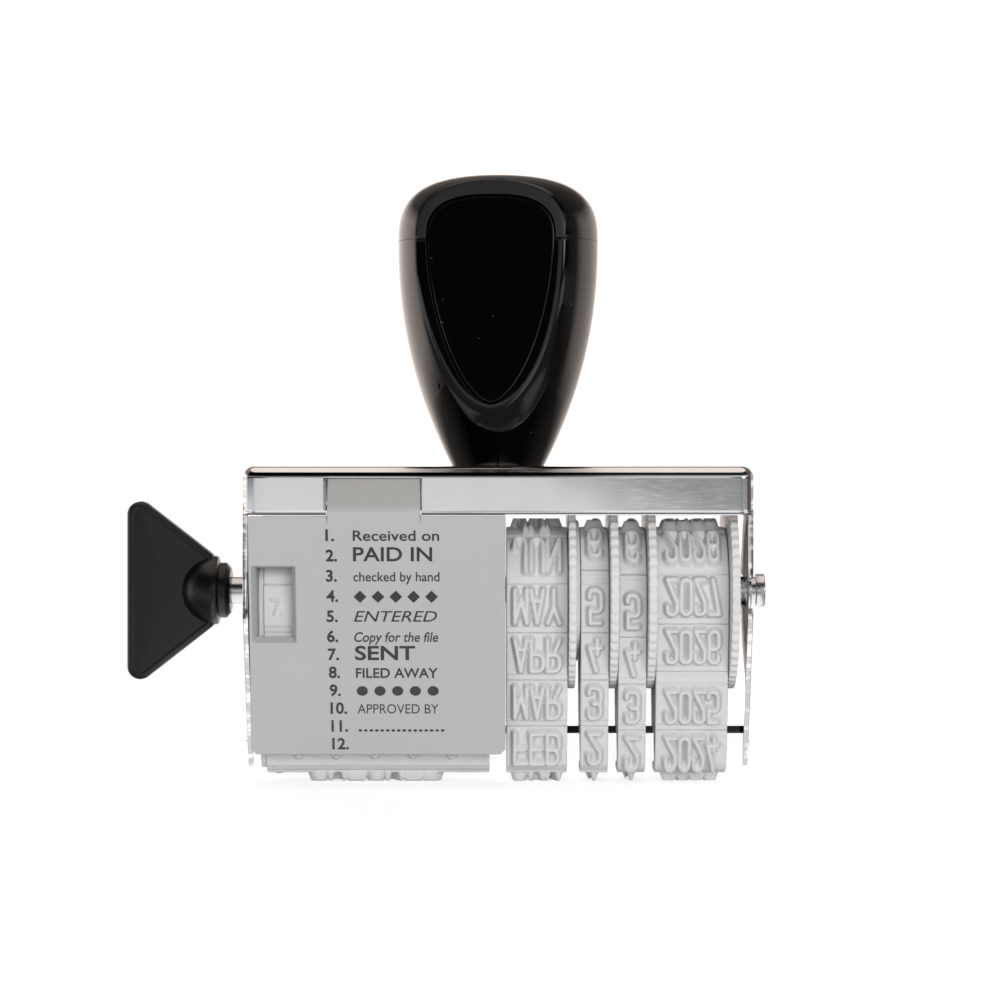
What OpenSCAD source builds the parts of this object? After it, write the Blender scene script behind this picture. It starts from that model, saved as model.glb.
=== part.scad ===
// Self-standing band date stamp: a chromed frame carries a phrase band behind a printed cover,
// and four date bands, each moved by its own thumb wheel on a common axle.
// +X is to the right, +Y to the rear, +Z up. The printing plane is z = 0, below the handle's axis.

/* [Bands] */
// Width of the phrase band
phrase_w = 26; // [18:0.5:36]
// Width of the month band
month_w = 7; // [5:0.1:10]
// Width of each of the two day bands
day_w = 3.2; // [2.4:0.1:5]
// Width of the year band
year_w = 8.25; // [6:0.05:12]
// Number of stations round each band
stations = 12; // [11:1:13]
// Thickness of the web that the pads stand on
web_t = 0.55; // [0.4:0.05:0.9]
// Height of a pad above the web
pad_t = 0.6; // [0.45:0.05:0.9]
// Height of a raised character above its pad
relief = 1; // [0.6:0.05:1.3]
// Length of a character along the band
char_len = 4; // [3:0.1:4.5]
// Bare stretch of web between two pads
pad_gap = 0.35; // [0.2:0.05:0.6]
// Bare margin of pad at each side of a line of characters
line_margin = 0.3; // [0.2:0.05:0.6]
// Gap between neighbouring characters on a pad
char_gap = 0.4; // [0.25:0.05:0.6]
// Radius of the bulge that a band takes between its wheel and the platen
run_r = 80; // [60:5:160]
// How far the bands stand below their printing position, down the front
lag = 1; // [0:0.1:1.2]
// How much farther down the day units and year bands stand
creep = 0.5; // [0:0.1:0.8]
// Bare stretch where the two ends of a band are joined
splice = 1.5; // [0.8:0.1:2]

/* [Wheels] */
// Diameter of the hubs that the bands run on
hub_d = 12.2; // [11:0.1:14]
// Diameter over the serrated rims
rim_d = 22.8; // [20:0.1:25]
// Thickness of the month wheel's rim
month_rim_t = 1.3; // [0.9:0.05:1.6]
// Thickness of the other wheels' rims
rim_t = 0.9; // [0.7:0.05:1.3]
// Number of serrations on a rim
rim_teeth = 60; // [40:1:72]
// Depth of a serration
tooth_depth = 0.4; // [0.2:0.05:0.6]

/* [Platen] */
// Depth of the bar that backs the bands at the printing face
platen_d = 4.6; // [4:0.1:6]
// Height of the bar
platen_h = 3.8; // [3:0.1:5]
// Radius of the bar's lower edges
platen_r = 0.8; // [0.5:0.1:1.2]
// Height of the tabs at the bar's ends
tab_h = 1.2; // [0.8:0.1:1.8]
// Depth of the tabs at the bar's ends
tab_d = 3; // [2:0.1:3.4]
// How far the tabs stand out of the arms
tab_proud = 0.4; // [0.2:0.1:1]

/* [Frame] */
// Height of the axle above the printing plane
axle_z = 22; // [20:0.1:26]
// Thickness of the frame's sheet
sheet_t = 0.6; // [0.5:0.05:1]
// Depth of the frame, front to rear
frame_d = 24; // [23:0.1:28]
// Height of the skirts below the top face
skirt_h = 5.5; // [5:0.1:6]
// Room between the rims and the top plate
head_room = 2.5; // [2:0.1:4]
// Outer radius of the bends along the top edges
bend_r = 1.3; // [0.9:0.1:1.8]
// Outer radius of the upright corners
corner_r = 1.6; // [1.1:0.1:2]
// Height at which the arms begin to taper
taper_z = 20; // [16:0.5:24]
// Depth of an arm at its foot
foot_d = 5.6; // [4.8:0.1:8]
// Height of the arms' feet above the printing plane
foot_z = 1.5; // [0.8:0.1:2]
// Cut corner of an arm's foot
foot_cut = 0.8; // [0.4:0.1:1.2]

/* [Axle and knob] */
// Diameter of the axle
axle_d = 3.1; // [2.4:0.1:4]
// Bare axle between the arm and the knob
bare_axle = 2.2; // [1:0.1:4]
// Diameter of the knob's collar
collar_d = 6.4; // [5.6:0.1:7.6]
// Length of the knob's collar
collar_len = 1.8; // [1:0.1:3]
// Diameter of the half ball where collar and wing meet
boss_d = 8; // [7.8:0.1:9]
// Length of the wing along the axle
wing_len = 10.2; // [8:0.1:14]
// Height of the wing at its outer end
wing_tip_h = 20.6; // [16:0.1:24]
// Height of the wing at its collar
wing_root_h = 9.4; // [8:0.1:11]
// Thickness of the wing
wing_t = 2.8; // [2:0.1:3.6]
// Corner radius of the wing
wing_r = 1.5; // [1:0.1:2]
// Edge radius of the wing
wing_edge = 0.7; // [0.3:0.1:0.9]
// Depth of the axle's socket in the knob
socket_depth = 4; // [2:0.1:5]
// Diameter of the end cap on the axle's right end
end_cap_d = 3.8; // [3.5:0.1:5]
// Length of the end cap
end_cap_len = 1.6; // [1:0.1:2.5]
// Diameter of the washer under the end cap
end_washer_d = 5; // [4.4:0.1:6.5]
// Thickness of the washer under the end cap
end_washer_t = 0.45; // [0.3:0.05:0.8]

/* [Phrase cover] */
// Thickness of the cover's front plate
cover_t = 1.2; // [0.8:0.1:1.5]
// Thickness of the cheeks that clip on the axle
cheek_t = 0.8; // [0.6:0.05:1.2]
// Height of the cover's lower edge
cover_foot_z = 3.6; // [3:0.1:6]
// Rounding of the cover's lower corners
cover_corner = 0.6; // [0.3:0.1:1.5]
// Width of the window
window_w = 4; // [3:0.1:6]
// Height of the window
window_h = 8; // [5:0.1:10]
// Height of the window's middle
window_z = 21.1; // [19:0.1:23]
// Bevel round the window
window_bevel = 0.5; // [0.2:0.1:0.8]
// Width of the tab in the skirt's notch
latch_w = 10.5; // [8:0.1:14]
// Distance from the cover's left edge to the tab
latch_x = 8.9; // [6:0.1:11]
// Height of the notch in the skirt
notch_h = 4.1; // [3.4:0.1:4.2]
// Wall of the clip round the axle
clip_wall = 1.3; // [0.8:0.1:1.8]
// Mouth of the clip, a little narrower than the axle
clip_mouth = 2.7; // [2:0.1:3]

/* [Handle] */
// Diameter of the handle where it stands on the frame
neck_d = 10.8; // [9:0.1:13]
// Largest diameter of the handle
grip_d = 23.3; // [20:0.1:27]
// Height of the lower part of the handle
grip_h = 25.9; // [22:0.1:32]
// Height of the cap above it
cap_h = 7.75; // [6.5:0.05:9]
// Fullness of the lower part's swelling side
grip_power = 2.15; // [1.8:0.05:2.6]
// Fullness of the cap's dome
dome_power = 2.8; // [2.2:0.1:3.2]
// Distance of the two flats from the handle's axis
flat_y = 8; // [7.6:0.1:8.6]
// Depth of the pocket in each flat
pocket_depth = 0.9; // [0.7:0.05:1.2]
// Thickness of the insert in the pocket
insert_t = 0.6; // [0.4:0.05:0.65]
// Width of the insert
insert_w = 14.8; // [12:0.1:15]
// Height of the insert above the parting line
insert_rise = 5; // [4:0.1:5.2]
// Height of the insert below the parting line
insert_drop = 18.9; // [14:0.1:19]
// Fullness of the insert's upper curve
insert_top_power = 2.7; // [2:0.1:3.2]
// Fullness of the insert's lower curve
insert_foot_power = 1.75; // [1.5:0.05:2]
// Turn of the handle about its own axis
handle_turn = -6; // [-10:1:10]
// Diameter of the cap's spigot
spigot_d = 10; // [8:0.1:11]
// Length of the cap's spigot
spigot_len = 4; // [3:0.1:6]
// Diameter of the handle's screw
screw_d = 3; // [2.5:0.1:4]
// Length of the screw in the handle
screw_len = 10; // [7:0.5:14]
// Diameter of the screw's head
screw_head_d = 5.2; // [4.6:0.1:6]
// Height of the screw's head
screw_head_h = 1.5; // [1:0.1:1.7]
// Length of the cross in the screw's head
drive_len = 3.1; // [2:0.1:4]
// Width of the cross in the screw's head
drive_w = 0.8; // [0.5:0.1:1.2]
// Diameter of the washer under the screw's head
screw_washer_d = 6.6; // [6.2:0.1:8]
// Thickness of the washer under the screw's head
screw_washer_t = 0.4; // [0.3:0.05:0.6]

/* [Fits] */
// Radial clearance of the axle in its bores
axle_fit = 0.05; // [0.02:0.01:0.1]
// Clearance of pieces that are pushed together
push_fit = 0.02; // [0.01:0.01:0.05]
// Gap between a band and its hub or the platen
band_gap = 0.1; // [0.08:0.01:0.2]
// Side gap between neighbouring bands, rims and cheeks
side_gap = 0.1; // [0.08:0.01:0.2]
// Gap between the phrase band and the left cheek
cheek_gap = 0.3; // [0.2:0.05:0.6]
// Room for the phrase band to drift towards the right cheek
drift = 1.05; // [0.3:0.05:2]
// Gap between the last rim and the right arm
end_gap = 0.9; // [0.3:0.05:1]
// Gap between the phrase band's characters and the cover
cover_gap = 0.3; // [0.2:0.05:0.6]

/* [Hidden] */
$fn = 96;
// Overlap that lets one shape cut or join another without a shared face
eps = 0.2;

// Places along X, stacked from the left cheek to the right arm
stack_w = side_gap + cheek_t + cheek_gap + phrase_w + drift + cheek_t + side_gap
          + month_w + 2 * day_w + year_w + month_rim_t + 3 * rim_t + 7 * side_gap + end_gap;
inner_x = stack_w / 2;
outer_x = inner_x + sheet_t;
cover_x0 = -inner_x + side_gap;
phrase_x = cover_x0 + cheek_t + cheek_gap;
cover_x1 = phrase_x + phrase_w + drift + cheek_t;
month_x = cover_x1 + side_gap;
tens_x = month_x + month_w + month_rim_t + 2 * side_gap;
units_x = tens_x + day_w + rim_t + 2 * side_gap;
year_x = units_x + day_w + rim_t + 2 * side_gap;

// Places along Z
band_t = web_t + pad_t + relief;
platen_z = band_t + band_gap;
tab_z = platen_z + (platen_h - tab_h) / 2;
frame_top = axle_z + rim_d / 2 + head_room + sheet_t;
skirt_z = frame_top - skirt_h;
arm_d = frame_d - 2 * corner_r;

// The band's closed path in the (y, z) plane: a wheel arc, a bulged run, a platen corner and a flat
wheel_r = hub_d / 2 + band_gap;
bend_in_r = platen_r + band_gap;
axle_c = [0, axle_z];
bend_c = [platen_r - platen_d / 2, platen_z + platen_r];
span = norm(bend_c - axle_c);
toward = (bend_c - axle_c) / span;
across = [-toward[1], toward[0]];
along = (pow(run_r - wheel_r, 2) - pow(run_r - bend_in_r, 2) + span * span) / (2 * span);
run_c = axle_c + along * toward + sqrt(pow(run_r - wheel_r, 2) - along * along) * across;
lean_top = atan2(run_c[1] - axle_c[1], run_c[0] - axle_c[0]);
lean_foot = atan2(run_c[1] - bend_c[1], run_c[0] - bend_c[0]);
degree = PI / 180;
flat_len = -bend_c[0];
bend_len = (bend_in_r + web_t) * (90 - lean_foot) * degree;
run_len = (run_r + web_t) * (lean_foot - lean_top) * degree;
wheel_len = (wheel_r + web_t) * (90 + lean_top) * degree;
half_len = flat_len + bend_len + run_len + wheel_len;
pitch = (2 * half_len - splice) / stations;
pad_len = pitch - pad_gap;

// The cover's plane touches the middle of the phrase band's run, a gap away
cover_lean = (lean_top + lean_foot) / 2;
cover_out = [-cos(cover_lean), -sin(cover_lean)];
cover_near = run_c * cover_out + run_r + band_t + cover_gap;
cover_far = cover_near + cover_t;
cover_top_z = skirt_z - side_gap;
latch_top_z = skirt_z + notch_h + side_gap;
latch_bend_z = skirt_z + 2 * side_gap;
latch_top_y = -frame_d / 2 + sheet_t + side_gap;

// Point of an arc about c, at angle a
function arc_point(c, r, a) = c + r * [cos(a), sin(a)];
function arc(c, r, a0, a1, n) = [for (i = [0:n]) arc_point(c, r, a0 + (a1 - a0) * i / n)];
function mirrored(pts) = [for (i = [len(pts) - 1:-1:0]) [-pts[i][0], pts[i][1]]];

// Outward angle of the band, s along the web from the printing face up the front
function front_angle(s) =
    s < flat_len ? 270
    : s < flat_len + bend_len ? 270 - (s - flat_len) / (bend_in_r + web_t) / degree
    : s < half_len - wheel_len ? 180 + lean_foot - (s - flat_len - bend_len) / (run_r + web_t) / degree
    : 180 + lean_top - (s - half_len + wheel_len) / (wheel_r + web_t) / degree;
// Point at height h above the web
function front_point(s, h) =
    s < flat_len ? [-s, platen_z - band_gap - web_t - h]
    : s < flat_len + bend_len ? arc_point(bend_c, bend_in_r + web_t + h, front_angle(s))
    : s < half_len - wheel_len ? arc_point(run_c, run_r + web_t + h, front_angle(s))
    : arc_point(axle_c, wheel_r + web_t + h, front_angle(s));
// The rear is the front's mirror image
function wrap(s) = s - 2 * half_len * round(s / (2 * half_len));
function band_angle(s) = wrap(s) < 0 ? 180 - front_angle(-wrap(s)) : front_angle(wrap(s));
function band_point(s, h) =
    let (p = front_point(abs(wrap(s)), h))
    wrap(s) < 0 ? [-p[0], p[1]] : p;

// Closed outline of the band at height h above the web. Each half stops a degree short of the top
function half_outline(h) = concat(
    arc(bend_c, bend_in_r + web_t + h, 270, 180 + lean_foot, 8),
    arc(run_c, run_r + web_t + h, 180 + lean_foot, 180 + lean_top, 6),
    arc(axle_c, wheel_r + web_t + h, 180 + lean_top, 91, 18));
function band_outline(h) = concat(half_outline(h), mirrored(half_outline(h)));

// Point of the cover's plane, dist from the origin along its outward direction, at height z
function cover_point(dist, z) = [(dist - z * cover_out[1]) / cover_out[0], z];

// Half width of the handle at height z above the frame
function grip_half(z) = neck_d / 2 + (grip_d - neck_d) / 2 * (1 - pow(1 - z / grip_h, grip_power));

// Draws a (y, z) shape as a plate of thickness t that starts at x
module plate(x, t) {
    translate([x, 0, 0]) rotate([90, 0, 90]) linear_extrude(t) children();
}

// Round bar along X from x0 to x1, on the axle's line
module bar(x0, x1, d) {
    translate([x0, 0, axle_z]) rotate([0, 90, 0]) cylinder(d = d, h = x1 - x0);
}

module rounded_square(w, d, r) {
    square([w - 2 * r, d], center = true);
    square([w, d - 2 * r], center = true);
    for (x = [-1, 1], y = [-1, 1]) translate([x * (w / 2 - r), y * (d / 2 - r)]) circle(r);
}

// Upright outline with round upper corners
module arched_outline(w, z0, z1, r) {
    translate([-w / 2, z0]) square([w, z1 - r - z0]);
    translate([r - w / 2, z0]) square([w - 2 * r, z1 - z0]);
    for (x = [-1, 1]) translate([x * (w / 2 - r), z1 - r]) circle(r);
}

// Drawn tray, solid: round upright corners and round top edges
module tray(w, d, z0, z1, bend, corner) {
    intersection() {
        translate([0, 0, z0]) linear_extrude(z1 - z0) rounded_square(w, d, corner);
        rotate([90, 0, 0]) linear_extrude(d + eps, center = true) arched_outline(w, z0, z1, bend);
        plate(-w / 2 - eps, w + 2 * eps) arched_outline(d, z0, z1, bend);
    }
}

module arm_outline() {
    half = [[-arm_d / 2, frame_top - bend_r], [-arm_d / 2, taper_z], [-foot_d / 2, foot_z + foot_cut],
            [foot_cut - foot_d / 2, foot_z]];
    polygon(concat(half, mirrored(half)));
}

module frame() {
    color("silver") difference() {
        union() {
            difference() {
                tray(2 * outer_x, frame_d, skirt_z, frame_top, bend_r, corner_r);
                tray(2 * inner_x, frame_d - 2 * sheet_t, skirt_z - eps, frame_top - sheet_t,
                     bend_r - sheet_t, corner_r - sheet_t);
            }
            for (x = [-outer_x, inner_x]) plate(x, sheet_t) arm_outline();
        }
        // Notch for the cover's tab
        translate([cover_x0 + latch_x - side_gap, -frame_d / 2 - eps, skirt_z - eps])
            cube([latch_w + 2 * side_gap, sheet_t + 2 * eps, notch_h + eps]);
        // Axle: a hole in the left arm, and a slot that opens forwards in the right one
        bar(-outer_x - eps, -inner_x + eps, axle_d + 2 * axle_fit);
        bar(inner_x - eps, outer_x + eps, axle_d + 2 * axle_fit);
        translate([inner_x - eps, -frame_d, axle_z - axle_d / 2 - axle_fit])
            cube([sheet_t + 2 * eps, frame_d, axle_d + 2 * axle_fit]);
        // Slots for the platen's tabs
        for (x = [-outer_x, inner_x]) translate([x - eps, -tab_d / 2 - push_fit, tab_z - push_fit])
            cube([sheet_t + 2 * eps, tab_d + 2 * push_fit, tab_h + 2 * push_fit]);
        translate([0, 0, frame_top - sheet_t - eps])
            cylinder(d = screw_d + 2 * side_gap, h = sheet_t + 2 * eps);
    }
}

module platen() {
    color("gainsboro") {
        plate(-inner_x, 2 * inner_x) {
            translate([-platen_d / 2, platen_z + platen_r]) square([platen_d, platen_h - platen_r]);
            translate([platen_r - platen_d / 2, platen_z]) square([platen_d - 2 * platen_r, platen_h]);
            for (y = [-1, 1]) translate([y * (platen_d / 2 - platen_r), platen_z + platen_r])
                circle(platen_r);
        }
        translate([-outer_x - tab_proud, -tab_d / 2, tab_z])
            cube([2 * (outer_x + tab_proud), tab_d, tab_h]);
    }
}

// Axle, end pieces and knob
knob_x = -outer_x - bare_axle;
axle_x1 = outer_x + side_gap + end_washer_t + end_cap_len / 2;
wing_x = knob_x - collar_len;

module axle() {
    color("lightgray") bar(knob_x - socket_depth, axle_x1, axle_d);
}

module axle_washer() {
    color("wheat") difference() {
        bar(outer_x + side_gap / 2, outer_x + side_gap / 2 + end_washer_t, end_washer_d);
        bar(outer_x, axle_x1, axle_d + 2 * axle_fit);
    }
}

module axle_end_cap() {
    x0 = outer_x + side_gap + end_washer_t;
    color("lightgray") difference() {
        bar(x0, x0 + end_cap_len, end_cap_d);
        bar(x0 - eps, axle_x1 + push_fit, axle_d + 2 * push_fit);
    }
}

// Wing corner: a disc with a round rim, standing in the (x, z) plane
module wing_corner(x, z) {
    translate([x, 0, axle_z + z]) rotate([90, 0, 0]) rotate_extrude($fn = 32) {
        translate([wing_r - wing_edge, wing_edge - wing_t / 2]) circle(wing_edge, $fn = 16);
        translate([wing_r - wing_edge, wing_t / 2 - wing_edge]) circle(wing_edge, $fn = 16);
        translate([0, -wing_t / 2]) square([wing_r - wing_edge, wing_t]);
    }
}

module knob() {
    color("dimgray") difference() {
        union() {
            hull() for (side = [-1, 1]) {
                wing_corner(wing_x - wing_len + wing_r, side * (wing_tip_h / 2 - wing_r));
                wing_corner(wing_x - wing_r, side * (wing_root_h / 2 - wing_r));
            }
            intersection() {
                translate([wing_x, 0, axle_z]) sphere(d = boss_d);
                bar(wing_x - boss_d, wing_x, 2 * boss_d);
            }
            bar(wing_x - eps, knob_x, collar_d);
        }
        bar(knob_x - socket_depth - push_fit, knob_x + eps, axle_d + 2 * push_fit);
    }
}

module phrase_drum() {
    color("whitesmoke") difference() {
        bar(phrase_x, phrase_x + phrase_w, hub_d);
        bar(phrase_x - eps, phrase_x + phrase_w + eps, axle_d + 2 * push_fit);
    }
}

// Serrated rim outline about the axle
module rim_outline() {
    step = 360 / rim_teeth;
    root = rim_d / 2 - tooth_depth;
    polygon([for (i = [0:rim_teeth - 1], k = [[0, root], [0, rim_d / 2], [0.5, rim_d / 2], [0.5, root]])
             arc_point(axle_c, k[1], (i + k[0]) * step)]);
}

// Thumb wheel: a hub under the band and a serrated rim of thickness t at its right
module thumb_wheel(x, w, t) {
    rim_x = x + w + side_gap;
    color("whitesmoke") difference() {
        union() {
            bar(x, rim_x + eps, hub_d);
            plate(rim_x, t) rim_outline();
        }
        bar(x - eps, rim_x + t + eps, axle_d + 2 * axle_fit);
    }
}

module month_wheel() { thumb_wheel(month_x, month_w, month_rim_t); }
module day_tens_wheel() { thumb_wheel(tens_x, day_w, rim_t); }
module day_units_wheel() { thumb_wheel(units_x, day_w, rim_t); }
module year_wheel() { thumb_wheel(year_x, year_w, rim_t); }

// Middle of station i along a band whose two ends are joined above the station named joint
function station_s(i, shift, joint) = i * pitch - shift + (i > joint ? splice : 0);
// Stretch of a band in the (y, z) plane, len long about s, from height h0 to h1 above the web
function stretch(s, len, h0, h1) =
    let (steps = 8)
    concat([for (k = [0:steps]) band_point(s + len * (k / steps - 0.5), h1)],
           [for (k = [steps:-1:0]) band_point(s + len * (k / steps - 0.5), h0)]);

// Rubber band with a pad at each station and count raised characters on each pad
module band(x, w, count, shift, joint) {
    cell = (w - 2 * line_margin) / count;
    char_w = cell - char_gap;
    color("lightgray") {
        plate(x, w) difference() {
            union() {
                polygon(band_outline(0));
                for (i = [0:stations - 1])
                    polygon(stretch(station_s(i, shift, joint), pad_len, -web_t / 2, pad_t));
            }
            polygon(band_outline(-web_t));
        }
        for (i = [0:stations - 1], k = [0:count - 1])
            plate(x + line_margin + (k + 0.5) * cell - char_w / 2, char_w)
                polygon(stretch(station_s(i, shift, joint), char_len, pad_t / 2, pad_t + relief));
    }
}

last = stations - 1;
module phrase_belt() { band(phrase_x, phrase_w, 1, lag, last); }
module month_belt() { band(month_x, month_w, 3, lag, last); }
module day_tens_belt() { band(tens_x, day_w, 1, lag, 4); }
module day_units_belt() { band(units_x, day_w, 1, lag + creep, 4); }
module year_belt() { band(year_x, year_w, 4, lag + creep, 2); }

// Cheek of the cover: a web from the front plate to a clip on the axle
module cheek_outline() {
    clip_r = axle_d / 2 + side_gap + clip_wall;
    reach = 2 * clip_r;
    difference() {
        union() {
            polygon([cover_point(cover_near + cover_t / 2, axle_z + reach), [0, axle_z + clip_r],
                     [0, axle_z - clip_r], cover_point(cover_near + cover_t / 2, axle_z - reach)]);
            translate(axle_c) circle(clip_r);
        }
        translate(axle_c) circle(axle_d / 2 + side_gap);
        translate([0, axle_z - clip_mouth / 2]) square([2 * clip_r, clip_mouth]);
    }
}

// Window through the cover, wider at the front by its bevel
module window_cut() {
    middle = cover_point(cover_near, window_z);
    slope = window_bevel / cover_t;
    half_w = window_w / 2;
    half_h = window_h / 2;
    front = -cover_t - eps;
    translate([cover_x0 + cheek_t + half_w, middle[0], middle[1]]) rotate([cover_lean, 0, 0])
        intersection() {
            linear_extrude(2 * window_h, center = true)
                polygon([[-half_w + slope * front, front], [half_w - slope * front, front],
                         [half_w - slope * eps, eps], [slope * eps - half_w, eps]]);
            plate(-window_w, 2 * window_w)
                polygon([[front, -half_h + slope * front], [front, half_h - slope * front],
                         [eps, half_h - slope * eps], [eps, slope * eps - half_h]]);
        }
}

module phrase_cover() {
    width = cover_x1 - cover_x0;
    foot = cover_point(cover_far, cover_foot_z);
    color("darkgray") difference() {
        union() {
            plate(cover_x0, width)
                polygon([foot, cover_point(cover_far, cover_top_z), cover_point(cover_near, cover_top_z),
                         cover_point(cover_near, cover_foot_z)]);
            plate(cover_x0 + latch_x, latch_w)
                polygon([cover_point(cover_far, cover_top_z - cover_t), cover_point(cover_far, latch_bend_z),
                         [latch_top_y, latch_top_z], [latch_top_y + cover_t, latch_top_z],
                         cover_point(cover_near, latch_bend_z),
                         cover_point(cover_near, cover_top_z - cover_t)]);
            for (x = [cover_x0, cover_x1 - cheek_t]) plate(x, cheek_t) cheek_outline();
        }
        window_cut();
        // Lower corners
        for (x = [cover_x0, cover_x1]) translate([x, foot[0], cover_foot_z]) rotate([0, 45, 0])
            cube([cover_corner * sqrt(2), 4 * cover_t, cover_corner * sqrt(2)], center = true);
    }
}

// Handle, drawn about its own axis from the frame's top
module turned_handle() {
    translate([0, 0, frame_top]) rotate([0, 0, handle_turn]) children();
}

// Insert outline in the (x, z) plane, grown by g: fuller above the parting line than below it
module insert_outline(g) {
    steps = 16;
    half_w = insert_w / 2 + g;
    upper = [for (i = [0:steps]) let (a = 90 * i / steps)
             [half_w * pow(cos(a), 2 / insert_top_power),
              grip_h + (insert_rise + g) * pow(sin(a), 2 / insert_top_power)]];
    lower = [for (i = [1:steps]) let (a = 90 * i / steps)
             [half_w * pow(cos(a), 2 / insert_foot_power),
              grip_h - (insert_drop + g) * pow(sin(a), 2 / insert_foot_power)]];
    right = concat([for (i = [steps - 1:-1:0]) lower[i]], upper);
    polygon(concat(right, [for (i = [len(right) - 2:-1:1]) [-right[i][0], right[i][1]]]));
}

// Flats and pockets cut from the handle's front and rear
module handle_cuts() {
    for (side = [-1, 1]) {
        translate([-grip_d, side > 0 ? flat_y : -flat_y - grip_d, -eps])
            cube([2 * grip_d, grip_d, grip_h + cap_h + 2 * eps]);
        translate([0, side > 0 ? flat_y + eps : pocket_depth - flat_y, 0]) rotate([90, 0, 0])
            linear_extrude(pocket_depth + eps) insert_outline(push_fit);
    }
}

module handle_grip() {
    steps = 24;
    side = [for (i = [0:steps]) [grip_half(grip_h * i / steps), grip_h * i / steps]];
    color("black") turned_handle() difference() {
        rotate_extrude() polygon(concat([[0, 0]], side, [[0, grip_h]]));
        handle_cuts();
        translate([0, 0, grip_h - spigot_len - push_fit])
            cylinder(d = spigot_d + 2 * push_fit, h = spigot_len + 2 * push_fit + eps);
        translate([0, 0, -eps]) cylinder(d = screw_d + 2 * push_fit, h = screw_len + eps + push_fit);
    }
}

module handle_cap() {
    steps = 24;
    dome = [for (i = [0:steps]) let (a = 90 * i / steps)
            [grip_d / 2 * pow(cos(a), 2 / dome_power), grip_h + cap_h * pow(sin(a), 2 / dome_power)]];
    color("black") turned_handle() difference() {
        union() {
            rotate_extrude() polygon(concat([[0, grip_h]], dome));
            translate([0, 0, grip_h - spigot_len]) cylinder(d = spigot_d, h = spigot_len + eps);
        }
        handle_cuts();
    }
}

module insert(side) {
    color("black") turned_handle()
        translate([0, side * (flat_y - pocket_depth + push_fit + insert_t / 2) + insert_t / 2, 0])
            rotate([90, 0, 0]) linear_extrude(insert_t) insert_outline(0);
}

module front_insert() { insert(-1); }
module rear_insert() { insert(1); }

module handle_screw() {
    top_z = frame_top - sheet_t - screw_washer_t;
    color("silver") difference() {
        union() {
            translate([0, 0, top_z - screw_head_h]) cylinder(d = screw_head_d, h = screw_head_h);
            translate([0, 0, top_z - eps]) cylinder(d = screw_d, h = frame_top + screw_len - top_z + eps);
        }
        for (a = [0, 90]) translate([0, 0, top_z - screw_head_h]) rotate([0, 0, a])
            cube([drive_len, drive_w, screw_head_h], center = true);
    }
}

module handle_washer() {
    color("silver") translate([0, 0, frame_top - sheet_t - screw_washer_t]) difference() {
        cylinder(d = screw_washer_d, h = screw_washer_t);
        translate([0, 0, -eps]) cylinder(d = screw_d + 2 * side_gap, h = screw_washer_t + 2 * eps);
    }
}

frame();
platen();
axle();
axle_washer();
axle_end_cap();
knob();
phrase_drum();
phrase_belt();
phrase_cover();
month_wheel();
day_tens_wheel();
day_units_wheel();
year_wheel();
month_belt();
day_tens_belt();
day_units_belt();
year_belt();
handle_grip();
handle_cap();
front_insert();
rear_insert();
handle_screw();
handle_washer();
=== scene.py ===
# %% [markdown]
# # A band date stamp
# The stamp is a drawn and chromed sheet frame with a black bulb handle. Rubber bands run over wheels on one
# axle and round a bar at the foot. This lesson loads the solids, and makes each visible piece again as a
# smooth surface worked out with numpy: a function of two parameters, or a profile carried along a path. All
# shapes are worked out in millimetres and written to the meshes in metres.

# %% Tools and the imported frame
import math

import bmesh
import bpy
import numpy as np
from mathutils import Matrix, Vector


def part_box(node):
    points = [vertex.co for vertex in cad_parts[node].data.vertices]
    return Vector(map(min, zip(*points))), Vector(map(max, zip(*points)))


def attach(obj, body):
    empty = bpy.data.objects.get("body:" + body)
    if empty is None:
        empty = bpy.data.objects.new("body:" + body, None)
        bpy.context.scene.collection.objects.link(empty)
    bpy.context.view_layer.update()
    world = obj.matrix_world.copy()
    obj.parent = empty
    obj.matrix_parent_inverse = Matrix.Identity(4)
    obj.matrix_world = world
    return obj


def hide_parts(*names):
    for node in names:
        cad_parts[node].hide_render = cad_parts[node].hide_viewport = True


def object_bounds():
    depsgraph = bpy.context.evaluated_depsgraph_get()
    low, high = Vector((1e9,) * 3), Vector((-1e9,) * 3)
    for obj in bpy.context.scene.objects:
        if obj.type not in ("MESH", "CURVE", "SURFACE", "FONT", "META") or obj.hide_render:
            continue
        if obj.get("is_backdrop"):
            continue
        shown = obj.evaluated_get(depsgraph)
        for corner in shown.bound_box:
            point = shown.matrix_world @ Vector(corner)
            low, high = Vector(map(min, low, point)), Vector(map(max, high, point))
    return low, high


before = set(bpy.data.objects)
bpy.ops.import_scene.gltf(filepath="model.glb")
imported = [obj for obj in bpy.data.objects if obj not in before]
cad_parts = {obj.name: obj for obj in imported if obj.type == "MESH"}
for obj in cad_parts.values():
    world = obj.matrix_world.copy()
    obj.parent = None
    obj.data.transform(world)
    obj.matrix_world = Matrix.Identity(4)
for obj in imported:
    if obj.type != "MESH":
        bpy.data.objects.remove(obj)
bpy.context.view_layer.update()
MM = 0.001
WELD = 1e-7


# %% [markdown]
# ## Surfaces
# A grid of points is the simplest way to hold a smooth surface: its cells are quads, and a side of the grid
# that closes on itself needs no seam. Points that fall together, as at a pole, are welded afterwards.

# %% Grids, welding and pieces
def box_mm(node):
    """Lowest and highest corner of a solid, in millimetres."""
    low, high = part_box(node)
    return np.array(low) / MM, np.array(high) / MM


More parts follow.
